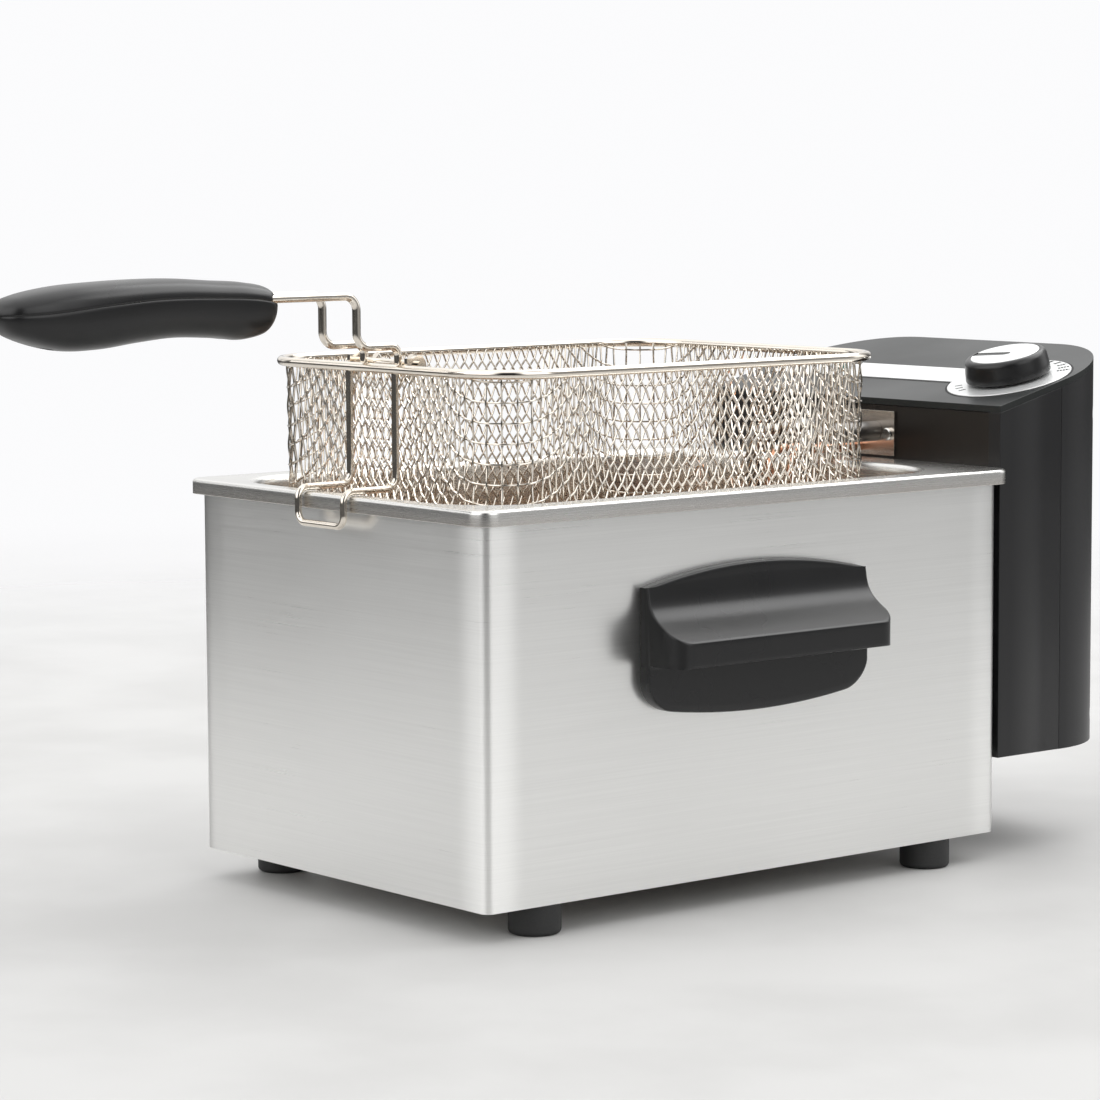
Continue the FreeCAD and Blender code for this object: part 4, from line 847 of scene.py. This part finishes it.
grip_half("grip_upper_shell", 1, "grip_upper")
lower_shell = grip_half("grip_lower_shell", -1, "grip_lower")

# %% [markdown]
# The two screws sit at the bottom of round recesses. The recesses are cut from the shell with a Boolean
# modifier and a plain round cutter, as a drill would leave them.
# %% Screw recesses in the grip


def drill_up(piece, y_mm, radius, top_z, sides=40):
    """Cut a round recess from below up to a height."""
    mesh = bpy.data.meshes.new("cutter")
    work = bmesh.new()
    bmesh.ops.create_cone(work, cap_ends=True, segments=sides, radius1=radius * MM, radius2=radius * MM,
                          depth=40 * MM)
    bmesh.ops.translate(work, verts=work.verts, vec=(0, along(y_mm), top_z - 20 * MM))
    work.to_mesh(mesh)
    work.free()
    cutter = bpy.data.objects.new("cutter", mesh)
    bpy.context.scene.collection.objects.link(cutter)
    modifier = piece.modifiers.new("recess", "BOOLEAN")
    modifier.operation, modifier.solver, modifier.object = "DIFFERENCE", "EXACT", cutter
    depsgraph = bpy.context.evaluated_depsgraph_get()
    cut_mesh = bpy.data.meshes.new_from_object(piece.evaluated_get(depsgraph))
    piece.modifiers.remove(modifier)
    piece.data = cut_mesh
    bpy.data.objects.remove(cutter)
    cut_mesh.set_sharp_from_angle(angle=math.radians(50))


screw_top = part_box("grip_screws")[0].z + 2.4 * MM
for y_mm in (-284, -199):
    drill_up(lower_shell, y_mm, 3.4, screw_top)
print("recesses end", round(screw_top / MM, 1), "mm above the table")

# %% [markdown]
# ## The carrying handles
# Each carrying handle is one moulding: an arched plate against the case, a hollow that sweeps out for the
# fingers, and an upright lip. Seen from above, the lip's corners are round. The shape is a rule: how
# far the plastic stands off the wall is the smaller of a profile that depends on the height and an
# outline that depends on the length. A soft minimum rounds the edge between the two.
# %% Handle shape
HANDLE_SWEEP = [  # reach from the wall, height
    (4.9, 139.0), (5.3, 136.0), (6.0, 132.8), (7.2, 130.0), (9.0, 127.6), (11.4, 125.5), (14.4, 123.5),
    (17.8, 121.5), (21.2, 119.5), (24.6, 117.5)]
LIP_UNDER, LIP_REACH, PLATE = 107.0, 25.0, 6.0
LIP_CORNER, PLATE_CORNER, PLATE_EDGE = 9.0, 13.0, 1.0
sweep_share, dense_share = np.linspace(0, 1, len(HANDLE_SWEEP)), np.linspace(0, 1, 34)
sweep_reach, sweep_height = (smooth_through(list(zip(sweep_share, column)), dense_share)
                             for column in np.array(HANDLE_SWEEP).T)


def round_off(from_end, radius):
    """How far a round corner has fallen back at a distance from the end, as a share of its radius."""
    near = min(1, max(0, 1 - from_end / radius))
    return 1 - math.sqrt(max(0, 1 - near ** 2))


def handle_outline(v):
    """The plate's upper and lower edge at v, which goes from -1 to 1 along the handle."""
    top = 139.0 + 7.4 * (1 - v ** 2)
    bottom = 83.2 + 5.6 * v ** 2
    return top, bottom


def soft_min(a, b, width):
    """The smaller of two values, with the change between them rounded."""
    h = np.clip(0.5 + 0.5 * (b - a) / width, 0, 1)
    return b * (1 - h) + a * h - width * h * (1 - h) / 2


def handle_section(top, bottom):
    """Down the handle's face from the plate's upper edge to its lower one: (reach, height) points."""
    points = [(0.0, top)]
    points += [(2.2, top), (3.6, top - 0.15), (4.3, top - 0.5), (4.65, top - 1.1)]
    for height in np.linspace(top - 2.0, 139.6, 6)[:-1]:
        points.append((4.75, max(height, 136.4)))
    for reach, height in zip(sweep_reach, sweep_height):
        if height < 136.2:
            points.append((reach, height))
    points += [(24.85, 117.2), (24.95, 116.6)]
    points += [(LIP_REACH, height) for height in np.linspace(115.6, 108.4, 6)]
    points += [(24.95, 107.7), (24.7, 107.2), (24.2, LIP_UNDER)]
    points += [(reach, LIP_UNDER) for reach in np.linspace(22, 8, 6)]
    points += [(7.0, LIP_UNDER - 0.05), (6.3, LIP_UNDER - 0.4), (PLATE, LIP_UNDER - 1.1)]
    points += [(PLATE, height) for height in np.linspace(LIP_UNDER - 2, bottom + 1.4, 10)]
    return points + [(5.8, bottom + 0.7), (5.3, bottom + 0.2), (4.5, bottom), (0.0, bottom)]


def make_handle(name, side, node):
    low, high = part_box(node)
    wall = low.x if side > 0 else high.x
    middle = (low.y + high.y) / 2
    half = (high.y - low.y) / 2 / MM
    ends = half - half * np.linspace(0, 1, 26) ** 1.7 * 0.32
    v_side = np.concatenate([-ends, np.linspace(-0.64, 0.64, 15) * half, ends[::-1]])
    rows = []
    for y in v_side:
        v = y / half
        top, bottom = handle_outline(v)
        from_end = half - abs(y)
        reach_limit = LIP_REACH - LIP_CORNER * round_off(from_end, LIP_CORNER)
        bottom += 11.5 * round_off(from_end, PLATE_CORNER)
        edge = max(0.0, 1 - from_end / PLATE_EDGE)
        row = []
        for reach, height in handle_section(top, bottom):
            limited = float(soft_min(reach, reach_limit, 1.6)) if reach > 8 else reach
            if reach > 3:
                limited -= edge * round_off(from_end, PLATE_EDGE)
            row.append((wall + side * max(limited, 0) * MM, middle + y * MM, height * MM))
        rows.append(row)
    count = len(rows[0])
    points = [point for row in rows for point in row]
    faces = grid_faces(len(rows), count, wrap=True)
    faces += [tuple(range(count)), tuple(range(len(points) - count, len(points)))]
    handle = new_piece(name, points, faces, "case", handle_black, 38)
    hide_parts(node)
    return handle


right_handle = make_handle("carrying_handle_right", 1, "side_handle_right")
make_handle("carrying_handle_left", -1, "side_handle_left")
print("each carrying handle has", len(right_handle.data.polygons), "faces")

# %% [markdown]
# ## The oil pan
# The pan is one deep drawing in thin sheet: a turned-down rim, a flat flange, a round entry into the well,
# straight walls and a well-rounded floor. Each level is a ring with round corners, so the pan is a stack of
# rings joined by faces. A solidify modifier then gives the sheet its thickness.
# %% Draw the pan
pan_low, pan_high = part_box("oil_pan")
RING_POINTS = 14
WELL_SIDE, WELL_FRONT, WELL_REAR, WELL_CORNER, WELL_FLOOR = 89.0, -139.0, 125.0, 32.0, 30.0
SHEET, RIM_CORNER, RIM_ROUND, WELL_ENTRY, FLOOR_BEND = 0.8, 9, 1.6, 3.6, 20


def round_ring(half_x, front, rear, corner, height):
    """A level ring with round corners: half width, front and rear (mm), corner radius and height."""
    ring = []
    for side, end, start in ((1, rear, 0), (-1, rear, 90), (-1, front, 180), (1, front, 270)):
        centre_y = end - corner if end == rear else end + corner
        for k in range(RING_POINTS + 1):
            angle = math.radians(start + 90 * k / RING_POINTS)
            ring.append((CASE_MIDDLE.x + (side * (half_x - corner) + corner * math.cos(angle)) * MM,
                         along(centre_y + corner * math.sin(angle)), height * MM))
    return ring


def quarter(steps):
    """Shares of a quarter turn, from nought to a right angle."""
    return [math.pi / 2 * k / steps for k in range(steps + 1)]


def draw_pan():
    rim_x = (pan_high.x - pan_low.x) / 2 / MM
    front = (pan_low.y - CASE_MIDDLE.y) / MM
    rear = (pan_high.y - CASE_MIDDLE.y) / MM
    top = pan_high.z / MM
    rings = [round_ring(rim_x, front, rear, RIM_CORNER, top - drop) for drop in (6.5, 6.3, 4, 1.7)]
    for turn in quarter(6)[1:]:
        inset, drop = RIM_ROUND * (1 - math.cos(turn)), RIM_ROUND * (1 - math.sin(turn))
        rings.append(round_ring(rim_x - inset, front + inset, rear - inset, RIM_CORNER - inset, top - drop))
    rings.append(round_ring(rim_x - 4, front + 4, rear - 4, 8, top))
    for turn in quarter(8):
        out, drop = WELL_ENTRY * (1 - math.sin(turn)), WELL_ENTRY * (1 - math.cos(turn))
        rings.append(round_ring(WELL_SIDE + out, WELL_FRONT - out, WELL_REAR + out, WELL_CORNER + out,
                                top - drop))
    for height in (150, 100, WELL_FLOOR + FLOOR_BEND):
        rings.append(round_ring(WELL_SIDE, WELL_FRONT, WELL_REAR, WELL_CORNER, height))
    for turn in quarter(8)[1:]:
        inset = FLOOR_BEND * (1 - math.cos(turn))
        rings.append(round_ring(WELL_SIDE - inset, WELL_FRONT + inset, WELL_REAR - inset,
                                WELL_CORNER - inset, WELL_FLOOR + FLOOR_BEND * (1 - math.sin(turn))))
    rings.append(round_ring(WELL_SIDE - 31, WELL_FRONT + 31, WELL_REAR - 31, 6, WELL_FLOOR))
    count = len(rings[0])
    points = [point for ring in rings for point in ring]
    faces = grid_faces(len(rings), count, wrap=True) + [tuple(range(len(points) - count, len(points)))]
    pan = new_piece("drawn_pan", points, faces, "pan", pan_steel, 30)
    centre = Vector((CASE_MIDDLE.x, CASE_MIDDLE.y, 60 * MM))
    upright = [face for face in pan.data.polygons if abs(face.normal.z) < 0.1 and face.center.z < 0.14]
    outward = sum((face.center - centre).to_2d().dot(face.normal.to_2d()) for face in upright) > 0
    thick = pan.modifiers.new("sheet", "SOLIDIFY")
    thick.thickness = SHEET * MM
    thick.offset = 1 if outward else -1
    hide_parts("oil_pan")
    return pan


drawn_pan = draw_pan()
print("the pan is drawn from", len(drawn_pan.data.vertices), "points")

# %% [markdown]
# ## Knob, dial and print
# The control head's top slopes, so the knob is drawn on that slope: u goes across the head, v up the slope
# and w away from it. The knob is a turned shape with a slight draft, its bright cap is a disc with a slot
# that points at the setting, and the dial carries plain heat marks that grow as the oil gets hotter.
# %% The sloping top
SLOPE = math.atan(0.25)
DIAL_X, DIAL_Y = 65.0, 188.0
DIAL_Z = 203.2 + 0.25 * (DIAL_Y - 150.5)


def on_slope(u, v, w):
    """A place on the head's sloping top, in metres, from lengths in millimetres about the dial's centre."""
    y = v * math.cos(SLOPE) - w * math.sin(SLOPE)
    z = v * math.sin(SLOPE) + w * math.cos(SLOPE)
    return (CASE_MIDDLE.x + (DIAL_X + u) * MM, along(DIAL_Y + y), (DIAL_Z + z) * MM)


def turned(name, profile, body, finish, steps=96):
    """A turned shape about the dial's axis from (radius, height) points."""
    points = []
    for radius, w in profile:
        points += [on_slope(radius * math.cos(2 * math.pi * k / steps),
                            radius * math.sin(2 * math.pi * k / steps), w) for k in range(steps)]
    faces = grid_faces(len(profile), steps, wrap=True)
    faces += [tuple(range(steps)), tuple(range(len(points) - steps, len(points)))]
    return new_piece(name, points, faces, body, finish, 40)


def extruded(name, outline, low, high, body, finish):
    """A flat piece with an outline on the slope."""
    count = len(outline)
    points = [on_slope(u, v, w) for w in (low, high) for u, v in outline]
    faces = grid_faces(2, count, wrap=True) + [tuple(range(count)), tuple(range(count, 2 * count))]
    return new_piece(name, points, faces, body, finish, 30)


print("the dial's centre stands", round(DIAL_Z, 1), "mm above the table")


# %% Turn the knob and cut its cap
KNOB_TOP = 12.0
edge = [(18.9 - 2.6 * (1 - math.cos(t)), KNOB_TOP - 2.6 * (1 - math.sin(t))) for t in quarter(8)]
knob_profile = ([(15.0, 1.5), (18.9, 1.5), (19.35, 1.8), (19.5, 2.4), (19.3, 6.0)] + edge
                + [(16.0, KNOB_TOP - 0.05), (15.95, KNOB_TOP - 0.35), (15.0, KNOB_TOP - 0.4)])
knob_shape = turned("heat_knob", knob_profile, "knob", handle_black)
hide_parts("knob")

POINTER = math.radians(90 + 105)
CAP_RADIUS, SLOT_HALF = 15.8, 2.5
opening = math.asin(SLOT_HALF / CAP_RADIUS)
cap_outline = [(CAP_RADIUS * math.cos(a), CAP_RADIUS * math.sin(a))
               for a in np.linspace(POINTER + opening, POINTER - opening + 2 * math.pi, 90)]
cap_outline += [(SLOT_HALF * math.cos(a), SLOT_HALF * math.sin(a))
                for a in np.linspace(POINTER - math.pi / 2, POINTER - 3 * math.pi / 2, 13)]
cap_shape = extruded("knob_cap_disc", cap_outline, KNOB_TOP - 0.5, KNOB_TOP + 0.1, "knob",
                     silver)
rounded = cap_shape.modifiers.new("edge", "BEVEL")
rounded.width, rounded.segments, rounded.limit_method = 0.25 * MM, 3, "ANGLE"
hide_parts("knob_cap")
print("the knob's pointer slot is", 2 * SLOT_HALF, "mm wide")

# %% Print the dial
PRINT_LIFT = 0.43
STRIP_V = [(y - DIAL_Y) / math.cos(SLOPE) for y in (178.0, 197.0)]


def print_bar(name, angle, inner, outer, width):
    """A short printed bar on the dial that points at the knob."""
    a = math.radians(angle)
    outline = [(r * math.cos(a) - s * width / 2 * math.sin(a), r * math.sin(a) + s * width / 2 * math.cos(a))
               for r, s in ((inner, -1), (outer, -1), (outer, 1), (inner, 1))]
    extruded(name, outline, PRINT_LIFT - 0.1, PRINT_LIFT + 0.03, "head", ink_and_painted_gap_shade)


for number, angle in enumerate((38, 50, 62, 74, 86)):
    reach = 2.6 + 0.75 * (4 - number)
    for part in range(1 + int(reach / 1.3)):
        inner = 27.6 - reach + part * 1.35
        print_bar("heat_mark_%d_%d" % (number, part), angle, inner, min(inner + 1.0, 27.8), 1.7)
for number, angle in enumerate((222, 234, 246)):
    print_bar("low_mark_%d" % number, angle, 21.6, 25.0, 0.9)

# painted shade: a fine dark line in the black ink where the dial and the strip are let into the cover,
# standing in for the shade in the gap
gap_low, gap_high = -0.1, 0.06
round_dial = np.radians(np.linspace(203, 517, 90))
ring = [(r * math.cos(a), r * math.sin(a)) for r, angles in ((28.65, round_dial), (29.6, round_dial[::-1]))
        for a in angles]
gap_lines = [ring]
for v in (STRIP_V[0] - 0.95, STRIP_V[1] + 0.05):
    gap_lines.append([(-149.0, v), (-27.7, v), (-27.7, v + 0.9), (-149.0, v + 0.9)])
for number, outline in enumerate(gap_lines):
    extruded("shadow_line_%d" % number, outline, gap_low, gap_high, "head", ink_and_painted_gap_shade)

# %% [markdown]
# ## Soften the moulded casings
# Every moulded edge has a small radius, and a radius is what catches a thin bright line of light. The
# frame's casings keep their meshes; a chain of modifiers merges their flat faces, rounds the sharp edges
# and evens the shading. The rounding also opens a fine groove where two casings meet.
# %% Round the sharp edges


def soften(node, width_mm):
    """Merge flat faces, then round the sharp edges of a piece from the frame."""
    item = frame["nodes"][node]
    weld = item.modifiers.new("weld", "WELD")
    weld.merge_threshold = 0.00001
    flat = item.modifiers.new("flat", "DECIMATE")
    flat.decimate_type = "DISSOLVE"
    flat.angle_limit = math.radians(1)
    edge = item.modifiers.new("edge", "BEVEL")
    edge.width, edge.segments = width_mm * MM, 3
    edge.limit_method, edge.angle_limit = "ANGLE", math.radians(34)
    even = item.modifiers.new("even", "WEIGHTED_NORMAL")
    even.keep_sharp = True


for node, width in (("head_front_shell", 1.1), ("head_rear_cover", 1.0), ("head_top_cover", 1.2),
                    ("front_plate", 0.5), ("dial_plate", 0.25), ("silver_strip", 0.25),
                    ("foot_front_left", 0.6), ("foot_front_right", 0.6), ("foot_rear_left", 0.6),
                    ("foot_rear_right", 0.6), ("element_bracket", 0.3), ("cord_gland", 0.4)):
    soften(node, width)
print("softened the head, the dial and the feet")

# %% [markdown]
# ## Dress the frame's own pieces
# A piece whose shape is already right keeps its frame mesh and only gets a finish. The record names a
# material slot for every piece, so the finishes are handed out by slot.
# %% Hand out the finishes
FINISH = {
    "case_steel": case_steel, "bracket_steel": bracket_steel, "pan_steel": pan_steel,
    "fastener_zinc": fastener_zinc, "foot_rubber": rubber, "handle_black": handle_black,
    "head_black": head_black, "cover_grey": cover_grey, "plate_dark": plate_dark,
    "element_sheath": sheath_steel, "copper_tube": copper, "inner_plastic": inner_plastic,
    "trim_silver": silver, "lens_teal": lens_teal, "wire_chrome": wire_chrome}
slot_of = {entry["node"]: entry["material_slot"] for entry in frame["record"]["subparts"]}
own_pieces = {name: item for name, item in frame["nodes"].items() if not item.hide_render}
for node_name, item in own_pieces.items():
    finish = FINISH[slot_of[node_name]]
    item.data.materials.clear()
    item.data.materials.append(head_side if node_name == "head_front_shell" else finish)
print("dressed", len(own_pieces), "of the frame's", len(frame["nodes"]), "pieces")
